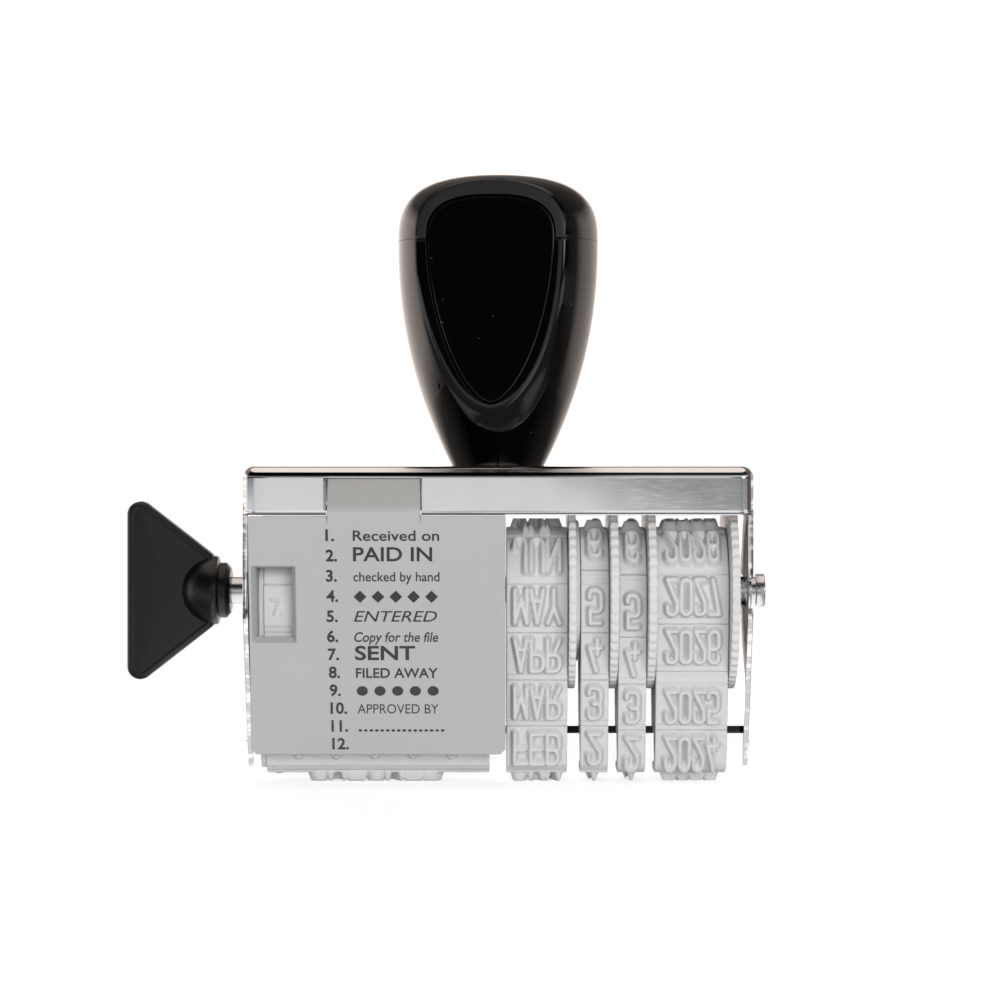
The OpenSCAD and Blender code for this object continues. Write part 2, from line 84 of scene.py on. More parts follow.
def surface(points, close_rows=False, close_columns=False, keep=None):
    """Points of a (rows, columns, 3) grid as a list, and four corner numbers for each cell that is kept."""
    rows, columns = points.shape[:2]
    r = np.arange(rows if close_rows else rows - 1)[:, None]
    c = np.arange(columns if close_columns else columns - 1)[None, :]
    r_next, c_next = (r + 1) % rows, (c + 1) % columns
    corners = [r * columns + c, r_next * columns + c, r_next * columns + c_next, r * columns + c_next]
    cells = np.stack(corners, -1)
    return points.reshape(-1, 3), cells.reshape(-1, 4) if keep is None else cells[keep]


def make_piece(name, surfaces, body, node, crease=40, closed=True):
    """Joins surfaces into one welded piece in place of a solid. Edges sharper than crease stay sharp."""
    starts = np.cumsum([0] + [len(points) for points, _ in surfaces])
    points = np.concatenate([points for points, _ in surfaces]) * MM
    cells = np.concatenate([cells + start for (_, cells), start in zip(surfaces, starts)])
    mesh = bpy.data.meshes.new(name)
    mesh.from_pydata(points.tolist(), [], cells.tolist())
    work = bmesh.new()
    work.from_mesh(mesh)
    bmesh.ops.remove_doubles(work, verts=work.verts, dist=WELD)
    bmesh.ops.delete(work, geom=[v for v in work.verts if not v.link_faces], context="VERTS")
    if closed:
        rims = [e for e in work.edges if e.is_boundary]
        bmesh.ops.holes_fill(work, edges=rims, sides=0)
        bmesh.ops.recalc_face_normals(work, faces=work.faces)
    work.to_mesh(mesh)
    work.free()
    mesh.shade_smooth()
    mesh.set_sharp_from_angle(angle=math.radians(crease))
    made = bpy.data.objects.new(name, mesh)
    bpy.context.scene.collection.objects.link(made)
    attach(made, body)
    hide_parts(node)
    print(name, len(mesh.polygons), "faces")
    return made


# %% [markdown]
# Pressed and moulded edges are never sharp. A profile gets its soft corners when it is drawn, and the edges
# of a finished piece are softened by a bevel.

# %% Soft corners
def softened(points, radii, steps=7):
    """Open line with round corners. At a corner with sides u and v, an angle w apart, the arc begins
    r / tan(w / 2) away, or halfway along the shorter side if that is nearer, and turns from one side's
    normal to the other's."""
    line = [points[:1]]
    k = np.linspace(0, 1, steps)[:, None]
    for before, corner, after, radius in zip(points, points[1:], points[2:], radii[1:]):
        u, v = before - corner, after - corner
        side = min(np.linalg.norm(u), np.linalg.norm(v)) / 2
        u, v = u / np.linalg.norm(u), v / np.linalg.norm(v)
        w = np.arccos(np.clip(u @ v, -1, 1))
        if radius <= 0 or w > np.pi - 0.01:
            line.append(corner[None])
            continue
        reach = min(radius / np.tan(w / 2), side)
        r = reach * np.tan(w / 2)
        centre = corner + (u + v) / np.linalg.norm(u + v) * r / np.sin(w / 2)
        first, last = corner + reach * u - centre, corner + reach * v - centre
        turn = np.pi - w
        line.append(centre + (np.sin((1 - k) * turn) * first + np.sin(k * turn) * last) / np.sin(turn))
    return np.concatenate(line + [points[-1:]])


def soft_loop(points, radius, steps=5):
    """Closed line with its corners softened by one radius, or each by its own."""
    points = np.array(points, float)
    middle = (points[:1] + points[-1:]) / 2
    line = np.concatenate([middle, points, middle])
    return softened(line, [0, *np.broadcast_to(radius, len(points)), 0], steps)[:-1]


print("points of a square with soft corners:", len(soft_loop([(0, 0), (1, 0), (1, 1), (0, 1)], 0.2)))


# %% Soft edges
def add_modifier(piece, kind, **settings):
    """One modifier with its settings."""
    modifier = piece.modifiers.new(kind.lower(), kind)
    for key, value in settings.items():
        setattr(modifier, key, value)


def keep_faces(piece, keep_sharp=True):
    """Lets large faces keep their own shading, so that only the small ones between them turn the light."""
    add_modifier(piece, "WEIGHTED_NORMAL", keep_sharp=keep_sharp, weight=100)


def soften_edges(piece, width, angle=30, segments=3, clamp=True):
    """Rounds a piece's sharp edges."""
    add_modifier(piece, "BEVEL", width=width * MM, segments=segments, limit_method="ANGLE",
                 angle_limit=math.radians(angle), use_clamp_overlap=clamp)
    keep_faces(piece, keep_sharp=False)


# %% [markdown]
# ## The sheet frame
# The real frame is one blank of sheet, drawn into a shallow tray whose two ends run on as arms. Its skin is
# one grid: the columns go round the tray's plan, and the rows go from the top plate over the bend and down
# the wall. Below the skirts only the arms' columns go on. Cells are left out for the notch, the axle's hole
# and the slot, and the grid lines next to the hole are drawn in to its circle. Solidify then gives the
# sheet its thickness.

# %% Plan and rows of the sheet
frame_low, frame_high = box_mm("frame")
axle_low, axle_high = box_mm("axle")
AXLE_Z = (axle_low[2] + axle_high[2]) / 2
AXLE_R = (axle_high[2] - axle_low[2]) / 2
SHEET = 0.6
BEND_R = 1.3
CORNER_R = 1.6
TOP_Z = frame_high[2]
FOOT_Z = frame_low[2]
SKIRT_Z = TOP_Z - 5.5
HALF_X, HALF_Y = frame_high[0], frame_high[1]
NOTCH_TOP = TOP_Z - BEND_R
NOTCH_X = (-19.3, -8.6)
ARM_HALF = HALF_Y - CORNER_R
TAPER_Z = AXLE_Z - 2
FOOT_HALF = 2.8
FOOT_CUT = 0.8
HOLE_R = AXLE_R + 0.05
NEAR_HOLE = np.array([0, HOLE_R / 2, HOLE_R, 2])
FAR_FROM_HOLE = np.linspace(3, ARM_HALF, 6)


def sheet_plan():
    """Plan of the tray, anticlockwise from the front's left end: (x, y), the outward normal, and which end
    an arm's column belongs to (-1 left, 1 right, 0 none)."""
    straight_x, straight_y = HALF_X - CORNER_R, ARM_HALF
    side_x = np.unique([*NOTCH_X, *np.linspace(-straight_x, straight_x, 30)])
    half_y = np.concatenate([NEAR_HOLE, FAR_FROM_HOLE])
    end_y = np.concatenate([-half_y[:0:-1], half_y])
    turn = np.radians(np.linspace(0, 90, 9)[1:-1])
    plan, normal, end = [], [], []
    for quarter in range(4):
        facing = np.radians(90 * quarter - 90)
        out = np.array([np.cos(facing), np.sin(facing)])
        along = np.array([-out[1], out[0]])
        run, reach = (side_x, HALF_Y) if quarter % 2 == 0 else (end_y, HALF_X)
        run = run if quarter < 2 else -run[::-1]
        plan.append(out * reach + along * run[:, None])
        normal.append(np.tile(out, (len(run), 1)))
        end += [[0, 1, 0, -1][quarter]] * len(run)
        bend = np.stack([np.cos(facing + turn), np.sin(facing + turn)], -1)
        corner = np.sign(out + along) * [straight_x, straight_y]
        plan.append(corner + CORNER_R * bend)
        normal.append(bend)
        end += [0] * len(turn)
    return np.concatenate(plan), np.concatenate(normal), np.array(end)


print("tray:", round(2 * HALF_X, 2), "x", round(2 * HALF_Y, 2), "mm, plan points:", len(sheet_plan()[0]))

# %% Skin of the sheet
PLATE_ROW = 0.15
NOTCH_ROW = 0.05
ARM_ROWS = (29, 27, 25)
SHEET_SOFT = 0.07


def sheet_skin():
    """Point of column c and row r: the plan drawn in by the row's inset, at the row's height. The inset is
    b (1 - sin a) and the drop b (1 - cos a) over the bend of radius b. On the top plate the plan is drawn
    in to a ridge along X, by way of a row close to the bend and one halfway. An arm's depth follows its
    taper, and a point in the axle's square is drawn in to the hole's circle by the larger of |y| and |z|
    over the distance."""
    plan, normal, end = sheet_plan()
    a = np.linspace(0, np.pi / 2, 14)
    wall = np.array([NOTCH_TOP - NOTCH_ROW, *np.linspace(NOTCH_TOP, SKIRT_Z, 8)[1:]])
    taper = np.linspace(TAPER_Z - 1, FOOT_Z + FOOT_CUT, 12)
    hole_rows = AXLE_Z + np.concatenate([NEAR_HOLE[::-1], -NEAR_HOLE[1:]])
    arm = np.concatenate([ARM_ROWS, hole_rows, taper, [FOOT_Z]])
    plate = np.full(3, BEND_R + PLATE_ROW)
    inset = np.concatenate([plate, BEND_R * (1 - np.sin(a)), np.zeros(len(wall) + len(arm))])
    z = np.concatenate([0 * plate + TOP_Z, TOP_Z - BEND_R * (1 - np.cos(a)), wall, arm])
    xy = plan[None] - inset[:, None, None] * normal[None]
    ridge = HALF_X - HALF_Y
    xy[0] = np.stack([np.clip(plan[:, 0], -ridge, ridge), 0 * plan[:, 1]], -1)
    xy[1] = (xy[0] + xy[2]) / 2
    half = np.interp(z, [FOOT_Z, FOOT_Z + FOOT_CUT, TAPER_Z], [FOOT_HALF - FOOT_CUT, FOOT_HALF, ARM_HALF])
    share = np.where(z < TAPER_Z, half / ARM_HALF, 1)[:, None]
    y = xy[..., 1] * np.where(end[None] != 0, share, 1)
    up = np.broadcast_to((z - AXLE_Z)[:, None], y.shape)
    square = np.maximum(abs(y), abs(up))
    round_end = (square < HOLE_R + 0.01) & (square > 0) & ((end[None] < 0) | ((end[None] > 0) & (y >= 0)))
    draw = np.where(round_end, square / np.maximum(np.hypot(y, up), 1e-9), 1)
    points = np.stack([xy[..., 0], y * draw, AXLE_Z + up * draw], -1)
    middle_x = (plan[:, 0] + np.roll(plan[:, 0], -1)) / 2
    middle_y = (y + np.roll(y, -1, 1))[:-1] / 2
    middle_z = ((z[1:] + z[:-1]) / 2)[:, None]
    in_arm = ((end != 0) & (np.roll(end, -1) == end))[None]
    front = ((plan[:, 1] < -HALF_Y + 0.01) & (middle_x > NOTCH_X[0]) & (middle_x < NOTCH_X[1]))[None]
    notch = front & (middle_z < NOTCH_TOP)
    hole = in_arm & (abs(middle_z - AXLE_Z) < HOLE_R) & (middle_y < HOLE_R)
    hole &= (end[None] > 0) | (middle_y > -HOLE_R)
    keep = ((middle_z > SKIRT_Z) | in_arm) & ~notch & ~hole
    return surface(points, close_columns=True, keep=keep)


sheet = make_piece("drawn_frame", [sheet_skin()], "stamp", "frame", crease=60, closed=False)
add_modifier(sheet, "SOLIDIFY", thickness=SHEET * MM, offset=-1)
soften_edges(sheet, SHEET_SOFT, angle=45, segments=2, clamp=False)

# %% [markdown]
# The press leaves a narrow lip along the skirts' foot. Its face leans a little towards the table and
# mirrors the white tabletop, so it reads as a bright line. It is a small closed profile carried along the
# plan, in three lengths: one on either side of the notch and one at the rear.

# %% Lip of the skirts
LIP_H, LIP_OUT, LIP_LEAN, LIP_R, LIP_SOFT = 0.5, 0.07, 0.018, 0.18, 0.03


def lip_skin(path, normal):
    """Profile of (out, up) carried along a plan: the point is p + out * n, at the skirt's foot plus up."""
    corners = [(0, LIP_H), (LIP_OUT, LIP_H - LIP_OUT), (LIP_OUT - LIP_LEAN, 0), (-SHEET, 0), (-SHEET, LIP_R),
               (-SHEET / 2, LIP_H)]
    out, up = soft_loop(corners, [0, LIP_SOFT, LIP_R, LIP_R, 0, 0]).T
    points = np.empty((len(path), len(out), 3))
    points[..., :2] = path[:, None] + out[:, None] * normal[:, None]
    points[..., 2] = SKIRT_Z + up
    return surface(points, close_columns=True)


corner_turn = np.radians(np.linspace(0, 90, 10))
left_turn = np.stack([-np.cos(corner_turn), -np.sin(corner_turn)], -1)
right_turn = np.stack([np.sin(corner_turn), -np.cos(corner_turn)], -1)
left_arc = CORNER_R * left_turn + [CORNER_R - HALF_X, CORNER_R - HALF_Y]
right_arc = left_arc[::-1] * [-1, 1]
to_front = np.array([[0, -1]])
left_lip = lip_skin(np.vstack([left_arc, [NOTCH_X[0], -HALF_Y]]), np.vstack([left_turn, to_front]))
right_lip = lip_skin(np.vstack([[NOTCH_X[1], -HALF_Y], right_arc]), np.vstack([to_front, right_turn]))
rear_lip = lip_skin(-np.vstack([left_arc, right_arc]), -np.vstack([left_turn, right_turn]))
lip = make_piece("skirt_lip", [left_lip, right_lip, rear_lip], "stamp", "frame", crease=30)
keep_faces(lip)

# %% [markdown]
# ## Turned pieces
# Wheels, washers and the end cap are profiles carried round the axle's line. A thumb wheel has a hub under
# its band and a rim at the right, whose edge is serrated: there the radius is held below a wave of square
# teeth.

# %% Turning about the axle
def turned(profile, around=96, teeth=0, tip=0, depth=0):
    """Profile of (x, r) carried round the axle: (x, r cos a, z + r sin a). With teeth, r is held below
    tip - depth * w, where w is a square wave with soft sides, (1 + tanh(2.5 cos(teeth a))) / 2."""
    a = np.linspace(0, 2 * np.pi, around, endpoint=False)[:, None]
    x, r = profile.T
    limit = tip - depth * (1 + np.tanh(2.5 * np.cos(teeth * a))) / 2 if teeth else np.inf
    r = np.minimum(r[None], limit) * np.ones_like(a)
    points = np.stack([np.broadcast_to(x, r.shape), r * np.cos(a), AXLE_Z + r * np.sin(a)], -1)
    return surface(points, close_rows=True, close_columns=True)


# %% Thumb wheels
# How far the rim's left face, its right face and the web lie to the left of a wheel's right end.
RIM_FACES = {"month_wheel": (1.3, 0.5, 0)}
PLAIN_RIM_FACES = (0.9, 0, 0.25)
RIM_DEPTH, RIM_FOOT = 3, 3.4
HUB_STEP = 0.6
WHEEL_SOFT = 0.2
RIM_TEETH = 60
TOOTH = 0.2
drum_low, drum_high = box_mm("phrase_drum")
HUB_R = (drum_high[2] - drum_low[2]) / 2
WHEELS = {"month_wheel": "month_thumb_wheel", "day_tens_wheel": "day_tens_thumb_wheel",
          "day_units_wheel": "day_units_thumb_wheel", "year_wheel": "year_thumb_wheel"}
thumb_wheels = []
for node, body in WHEELS.items():
    low, high = box_mm(node)
    left, right = low[0], high[0]
    tip = (high[2] - low[2]) / 2
    inner, face, web = right - np.array(RIM_FACES.get(node, PLAIN_RIM_FACES))
    corners = [(left, HOLE_R), (left, HUB_R), (inner, HUB_R), (inner, tip), (face, tip),
               (face, tip - RIM_DEPTH), (web, tip - RIM_FOOT), (web, HUB_R), (right, HUB_R - HUB_STEP),
               (right, HOLE_R)]
    ring = turned(soft_loop(corners, WHEEL_SOFT), 8 * RIM_TEETH, RIM_TEETH, tip, TOOTH)
    thumb_wheels.append(make_piece(node + "_turned", [ring], body, node, crease=50))

# %% Washer and end cap of the axle
WASHER_SOFT, CAP_SOFT = 0.1, 0.14
low, high = box_mm("axle_washer")
WASHER_R = (high[2] - low[2]) / 2
washer_corners = [(low[0], HOLE_R), (low[0], WASHER_R), (high[0], WASHER_R), (high[0], HOLE_R)]
washer_ring = turned(soft_loop(washer_corners, WASHER_SOFT))
washer = make_piece("axle_washer_turned", [washer_ring], "stamp", "axle_washer")
low, high = box_mm("axle_end_cap")
CAP_R = (high[2] - low[2]) / 2
CAP_NECK, CAP_HEAD = 0.5, 1.1
cap_corners = [(low[0], 0), (low[0], CAP_R - CAP_NECK), (high[0] - CAP_HEAD, CAP_R - CAP_NECK),
               (high[0] - CAP_HEAD, CAP_R), (high[0], CAP_R), (high[0], 0)]
cap_profile = softened(np.array(cap_corners), [CAP_SOFT] * len(cap_corners), 5)
end_cap = make_piece("axle_end_cap_turned", [turned(cap_profile)], "knob_shaft",
                     "axle_end_cap")

# %% [markdown]
# ## The bar at the foot
# The bands bend round a chromed bar that hangs between the arms by a tab at each end. Its profile is drawn
# in the (y, z) plane and carried along X. The lower edges are round for the bands, and the upper part of
# each side leans in a little, so it mirrors the dark room where the rest mirrors the white floor.

# %% Bar and tabs
bar_low, bar_high = box_mm("platen")
BAR_R = 0.8
BAR_HALF = 2.3
BAR_RISE = 0.4
LEAN_H, LEAN_IN = 0.85, 0.25
FOLD_SOFT, TOP_SOFT = 0.1, 0.12
TAB_LOW, TAB_TOP = 3.55, 4.75
TAB_HALF = 1.5
TAB_SOFT = 0.1


def carried(profile, left, right):
    """Closed profile of (y, z) carried straight from left to right along X."""
    points = np.empty((2, len(profile), 3))
    points[..., 0] = np.array([[left], [right]])
    points[..., 1:] = profile
    return surface(points, close_columns=True)


low_z, high_z = bar_low[2], bar_high[2] + BAR_RISE
bar_corners = [(-BAR_HALF, low_z), (BAR_HALF, low_z), (BAR_HALF, high_z - LEAN_H),
               (BAR_HALF - LEAN_IN, high_z), (LEAN_IN - BAR_HALF, high_z), (-BAR_HALF, high_z - LEAN_H)]
bar_profile = soft_loop(bar_corners, [BAR_R, BAR_R, FOLD_SOFT, TOP_SOFT, TOP_SOFT, FOLD_SOFT])
tab_corners = [(-TAB_HALF, TAB_LOW), (TAB_HALF, TAB_LOW), (TAB_HALF, TAB_TOP), (-TAB_HALF, TAB_TOP)]
bar_skin = carried(bar_profile, SHEET - HALF_X, HALF_X - SHEET)
tab_skin = carried(soft_loop(tab_corners, TAB_SOFT), bar_low[0], bar_high[0])
platen = make_piece("platen_pressed", [bar_skin, tab_skin], "stamp", "platen", crease=30)
keep_faces(platen)

# %% [markdown]
# ## Type for the bands
# The characters are moulded rubber: a narrow flat top on sloping flanks. A letter is kept as the centre
# lines of its strokes in a unit box, so one formula gives its relief anywhere: full height near a stroke,
# then a straight slope down with the distance from it. Corners that end in R are round.

# %% Strokes of the letters
R = 1
GLYPHS = {
    "0": [[(0, .5), (0, 1, R), (1, 1, R), (1, 0, R), (0, 0, R), (0, .5)]],
    "1": [[(.15, .78), (.55, 1), (.55, 0)]],
    "2": [[(0, .74), (0, 1, R), (1, 1, R), (1, .62, R), (0, 0), (1, 0)]],
    "3": [[(0, .8), (0, 1, R), (1, 1, R), (1, .53, R), (.4, .53)],
          [(.4, .53), (1, .53, R), (1, 0, R), (0, 0, R), (0, .2)]],
    "4": [[(.6, 1), (0, .25), (1, .25)], [(.68, .46), (.68, 0)]],
    "5": [[(.95, 1), (.05, 1), (.05, .56), (.3, .63, R), (1, .63, R), (1, 0, R), (0, 0, R), (0, .2)]],
    "6": [[(.95, .8), (.95, 1, R), (0, 1, R), (0, 0, R), (1, 0, R), (1, .58, R), (0, .58, R), (0, .3)]],
    "7": [[(0, 1), (1, 1), (.35, 0)]],
    "8": [[(.5, .54), (.05, .54, R), (.05, 1, R), (.95, 1, R), (.95, .54, R), (.5, .54)],
          [(.5, .54), (0, .54, R), (0, 0, R), (1, 0, R), (1, .54, R), (.5, .54)]],
    "9": [[(.05, .2), (.05, 0, R), (1, 0, R), (1, 1, R), (0, 1, R), (0, .42, R), (1, .42, R), (1, .7)]],
    "A": [[(0, 0), (.5, 1), (1, 0)], [(.2, .3), (.8, .3)]],
    "B": [[(0, .53), (.9, .53, R), (.9, 1, R), (0, 1), (0, 0), (1, 0, R), (1, .53, R), (.5, .53)]],
    "C": [[(1, .75), (1, 1, R), (0, 1, R), (0, 0, R), (1, 0, R), (1, .25)]],
    "D": [[(0, 0), (0, 1), (1, 1, R), (1, 0, R), (0, 0)]],
    "E": [[(1, 1), (0, 1), (0, 0), (1, 0)], [(0, .52), (.85, .52)]],
    "F": [[(1, 1), (0, 1), (0, 0)], [(0, .52), (.85, .52)]],
    "G": [[(1, .75), (1, 1, R), (0, 1, R), (0, 0, R), (1, 0, R), (1, .45), (.55, .45)]],
    "H": [[(0, 0), (0, 1)], [(1, 0), (1, 1)], [(0, .52), (1, .52)]],
    "I": [[(.5, 0), (.5, 1)]],
    "J": [[(0, .25), (0, 0, R), (.9, 0, R), (.9, 1)]],
    "K": [[(0, 0), (0, 1)], [(1, 1), (0, .45)], [(.3, .62), (1, 0)]],
    "L": [[(0, 1), (0, 0), (1, 0)]],
    "M": [[(0, 0), (0, 1), (.5, .25), (1, 1), (1, 0)]],
    "N": [[(0, 0), (0, 1), (1, 0), (1, 1)]],
    "P": [[(0, 0), (0, 1), (1, 1, R), (1, .45, R), (0, .45)]],
    "R": [[(0, 0), (0, 1), (1, 1, R), (1, .47, R), (0, .47)], [(.5, .47), (1, 0)]],
    "S": [[(1, .78), (1, 1, R), (0, 1, R), (0, .52, R), (1, .52, R), (1, 0, R), (0, 0, R), (0, .22)]],
    "T": [[(0, 1), (1, 1)], [(.5, 1), (.5, 0)]],
    "U": [[(0, 1), (0, 0, R), (1, 0, R), (1, 1)]],
    "V": [[(0, 1), (.5, 0), (1, 1)]],
    "Y": [[(0, 1), (.5, .48), (1, 1)], [(.5, .48), (.5, 0)]],
    "-": [[(.1, .5), (.9, .5)]],
    ".": [[(.2, 0), (.21, 0)]],
    "*": [[(.5, .78), (1, .5), (.5, .22), (0, .5), (.5, .78)]],
    "o": [[(.5, .72), (1, .72, R), (1, .28, R), (0, .28, R), (0, .72, R), (.5, .72)]],
}
GLYPHS["O"] = GLYPHS["0"]
FAR_STROKE = np.full((1, 4), 1e3)


def type_lines(text, height, width, advance):
    """Straight strokes (x0, y0, x1, y1) of a line of type, about the line's middle. A far stroke comes
    first, so that an empty line has one too."""
    strokes = [FAR_STROKE]
    for number, letter in enumerate(text):
        left = (number - (len(text) - 1) / 2) * advance - width / 2
        for stroke in GLYPHS.get(letter, []):
            points = np.array([(left + p[0] * width, (p[1] - 0.5) * height) for p in stroke])
            line = softened(points, [width / 2 if len(p) > 2 else 0 for p in stroke])
            strokes.append(np.hstack([line[:-1], line[1:]]))
    return np.concatenate(strokes)


def stroke_gap(x, y, strokes):
    """Distance from each point to the nearest stroke: to its perpendicular's foot, held within the ends."""
    start, along = strokes[:, :2], strokes[:, 2:] - strokes[:, :2]
    nearest = np.full(x.shape, np.inf)
    for (x0, y0), (dx, dy) in zip(start, along):
        share = np.clip(((x - x0) * dx + (y - y0) * dy) / max(dx * dx + dy * dy, 1e-9), 0, 1)
        nearest = np.minimum(nearest, np.hypot(x - x0 - share * dx, y - y0 - share * dy))
    return nearest


def relief_mask(x, y, strokes, top, flank):
    """1 on a character's flat top, then a straight slope down to 0 over the flank."""
    return np.clip((top / 2 + flank - stroke_gap(x, y, strokes)) / flank, 0, 1)


print("letters:", len(GLYPHS))

# %% [markdown]
# ## The bands' path
# A band is a closed loop: flat under the bar, round the bar's edge, up a run that bulges a little, and over
# the wheel. In the (y, z) plane these are arcs that meet at shared tangents, so the path is worked out from
# the wheel, the bar's edge and the bulge alone, and the rear is the front's mirror image.

# %% Path of a band
GAP = 0.1
WEB = 0.55
PAD = 0.6
RELIEF = 1.0
STATIONS = 12
BULGE_R = 80
wheel_r, edge_r = HUB_R + GAP, BAR_R + GAP
axle_c = np.array([0, AXLE_Z])
edge_c = np.array([BAR_R - BAR_HALF, bar_low[2] + BAR_R])
span = np.linalg.norm(edge_c - axle_c)
toward = (edge_c - axle_c) / span
beside = np.array([-toward[1], toward[0]])
reach = ((BULGE_R - wheel_r) ** 2 - (BULGE_R - edge_r) ** 2 + span ** 2) / (2 * span)
run_c = axle_c + reach * toward + math.sqrt((BULGE_R - wheel_r) ** 2 - reach ** 2) * beside
lean_top = math.atan2(run_c[1] - axle_c[1], run_c[0] - axle_c[0])
lean_foot = math.atan2(run_c[1] - edge_c[1], run_c[0] - edge_c[0])
arc_centre = np.array([edge_c, edge_c, run_c, axle_c])
arc_r = np.array([edge_r, edge_r, BULGE_R, wheel_r]) + WEB
arc_start = np.pi * np.array([1.5, 1.5, 1, 1]) + [0, 0, lean_foot, lean_top]
arc_turn = np.array([0, np.pi / 2 - lean_foot, lean_foot - lean_top, np.pi / 2 + lean_top])
lengths = arc_r * arc_turn
lengths[0] = -edge_c[0]
ends = np.cumsum(lengths)
LOOP = 2 * ends[-1]
SPLICE = 1.5
PITCH = (LOOP - SPLICE) / STATIONS
print("band loop", round(LOOP, 2), "pitch", round(PITCH, 3))


def band_points(s, height):
    """(y, z) at length s along the web's outer face and a height above it: on an arc of radius r about c,
    the angle is its start less the length over r, and the point is c + (r + height)(cos, sin). The flat
    lies below."""
    s = s - LOOP * np.round(s / LOOP)
    u = np.abs(s)
    which = np.minimum(np.searchsorted(ends, u, side="right"), 3)
    before = (ends - lengths)[which]
    angle = arc_start[which] - (u - before) / arc_r[which]
    y = arc_centre[which, 0] + (arc_r[which] + height) * np.cos(angle)
    z = arc_centre[which, 1] + (arc_r[which] + height) * np.sin(angle)
    y = np.where(which == 0, -u, y)
    z = np.where(which == 0, edge_c[1] - arc_r[0] - height, z)
    return y * np.where(s < 0, -1, 1), z


# %% [markdown]
# ## The rubber bands
# Each of the twelve stations is a pad with raised characters, a lower strip below it and a fine crack above
# it. The band's outside is a height map over the length and the width, a tile for each station, wrapped on
# the path. The type is upside down, as on every band stamp, because the print on the paper turns it round.

# %% Band surface
STRIP = 0.62
STRIP_DROP = 0.14
CRACK = 0.12
TYPE_H = 3.55
TYPE_TOP = 0.28
FLANK = 0.38
EDGE_SOFT = 0.12
STEP = 0.08
CRACK_FLOOR = 0.25
RIDGES = 3
RIDGE_FLOOR, RIDGE_RISE, RIDGE_FALL, RIDGE_SHARP = 0.45, 0.35, 0.05, 12


def station_rows(rows):
    """Lengths of a station's rows along the band, from its middle."""
    return (np.arange(rows) + 0.5) / rows * PITCH - PITCH / 2


def pad_height(t):
    """Height of a pad along its station: a strip, a step up to the face and a crack at the upper end."""
    face = np.clip((t + PITCH / 2 - STRIP) / STEP, 0, 1)
    crack = np.clip(np.abs(t - PITCH / 2 + CRACK / 2) / (CRACK / 2), 0, 1)
    return (PAD - STRIP_DROP + STRIP_DROP * face) * (CRACK_FLOOR + (1 - CRACK_FLOOR) * crack)


def splice_tile(columns, rows):
    """Height map of the joint of a band's two ends: low ridges with cracks between them, each lower than
    the last."""
    t = np.linspace(0, RIDGES, rows)[:, None]
    ridge = np.clip(np.abs(t - np.round(t)) * RIDGE_SHARP, 0, 1)
    return (PAD * (RIDGE_FLOOR + RIDGE_RISE * ridge) - RIDGE_FALL * np.floor(t)) * np.ones((1, columns))


def band_skin(x, tiles, shift, joint):
    """Closed skin: height maps on the outside, one after the other along the band, with the splice after
    the station that joint names, and a plain inside at the web's inner face."""
    rows, columns = tiles[0].shape
    t = station_rows(rows)
    splice_rows = int(round(SPLICE / PITCH * rows))
    splice_t = (np.arange(splice_rows) + 0.5) / splice_rows * SPLICE
    s = [station * PITCH + t - shift + (SPLICE if station > joint else 0) for station in range(STATIONS)]
    s.insert(joint + 1, joint * PITCH + PITCH / 2 - shift + splice_t)
    s = np.concatenate(s)
    height = np.concatenate([*tiles[:joint + 1], splice_tile(columns, splice_rows), *tiles[joint + 1:]])
    side = np.minimum(x - x[0], x[-1] - x)
    height = height - EDGE_SOFT * (1 - np.clip(side / EDGE_SOFT, 0, 1)) ** 2
    y, z = band_points(np.broadcast_to(s[:, None], height.shape), height)
    outside = np.stack([np.broadcast_to(x, height.shape), y, z], -1)
    y, z = band_points(np.stack([s, s], -1), np.full((len(s), 2), -WEB))
    inside = np.stack([np.broadcast_to([x[-1], x[0]], y.shape), y, z], -1)
    return surface(np.concatenate([outside, inside], 1), close_rows=True, close_columns=True)


def station_tile(x, text, width, advance, rows):
    """Height map of one station with its characters, which stand upside down on the pad's face."""
    across_x, along_t = np.meshgrid(x - (x[0] + x[-1]) / 2, station_rows(rows))
    face_middle = (STRIP - CRACK) / 2
    strokes = type_lines(text, TYPE_H, width, advance)
    relief = relief_mask(across_x, face_middle - along_t, strokes, TYPE_TOP, FLANK)
    return pad_height(along_t) + RELIEF * relief


# %% Date bands
ROWS = 64
COLUMN = 0.09
LAG = 0.55
CREEP = 0.5
LAST = STATIONS - 1
MONTHS = ["JAN", "FEB", "MAR", "APR", "MAY", "JUN", "JUL", "AUG", "SEP", "OCT", "NOV", "DEC"]
DAYS = [*"1234567890", "-", " "]
YEARS = [str(2023 + i) for i in range(STATIONS)]
# Characters, their width and advance, how far the band has run, and the station before its splice.
DATE_BANDS = {
    "month_belt": (MONTHS, 1.35, 1.87, LAG, LAST),
    "day_tens_belt": (DAYS, 1.3, 0, LAG, 4),
    "day_units_belt": (DAYS, 1.3, 0, LAG + CREEP, 4),
    "year_belt": (YEARS, 1.08, 1.6, LAG + CREEP, 2),
}
bands = []
for node, (texts, width, advance, shift, joint) in DATE_BANDS.items():
    low, high = box_mm(node)
    x = np.linspace(low[0], high[0], int((high[0] - low[0]) / COLUMN) + 2)
    tiles = [station_tile(x, text, width, advance, ROWS) for text in texts]
    skin = band_skin(x, tiles, shift, joint)
    bands.append(make_piece(node + "_moulded", [skin], "stamp", node, crease=75))

# %% [markdown]
# The phrase band is wider, and at its left the bare web runs on beyond the pads. Each pad has a small
# readable number there, which the cover's window shows, and a plain office word or an ornament for
# printing. The columns are closer together at the number, which has the finest strokes.

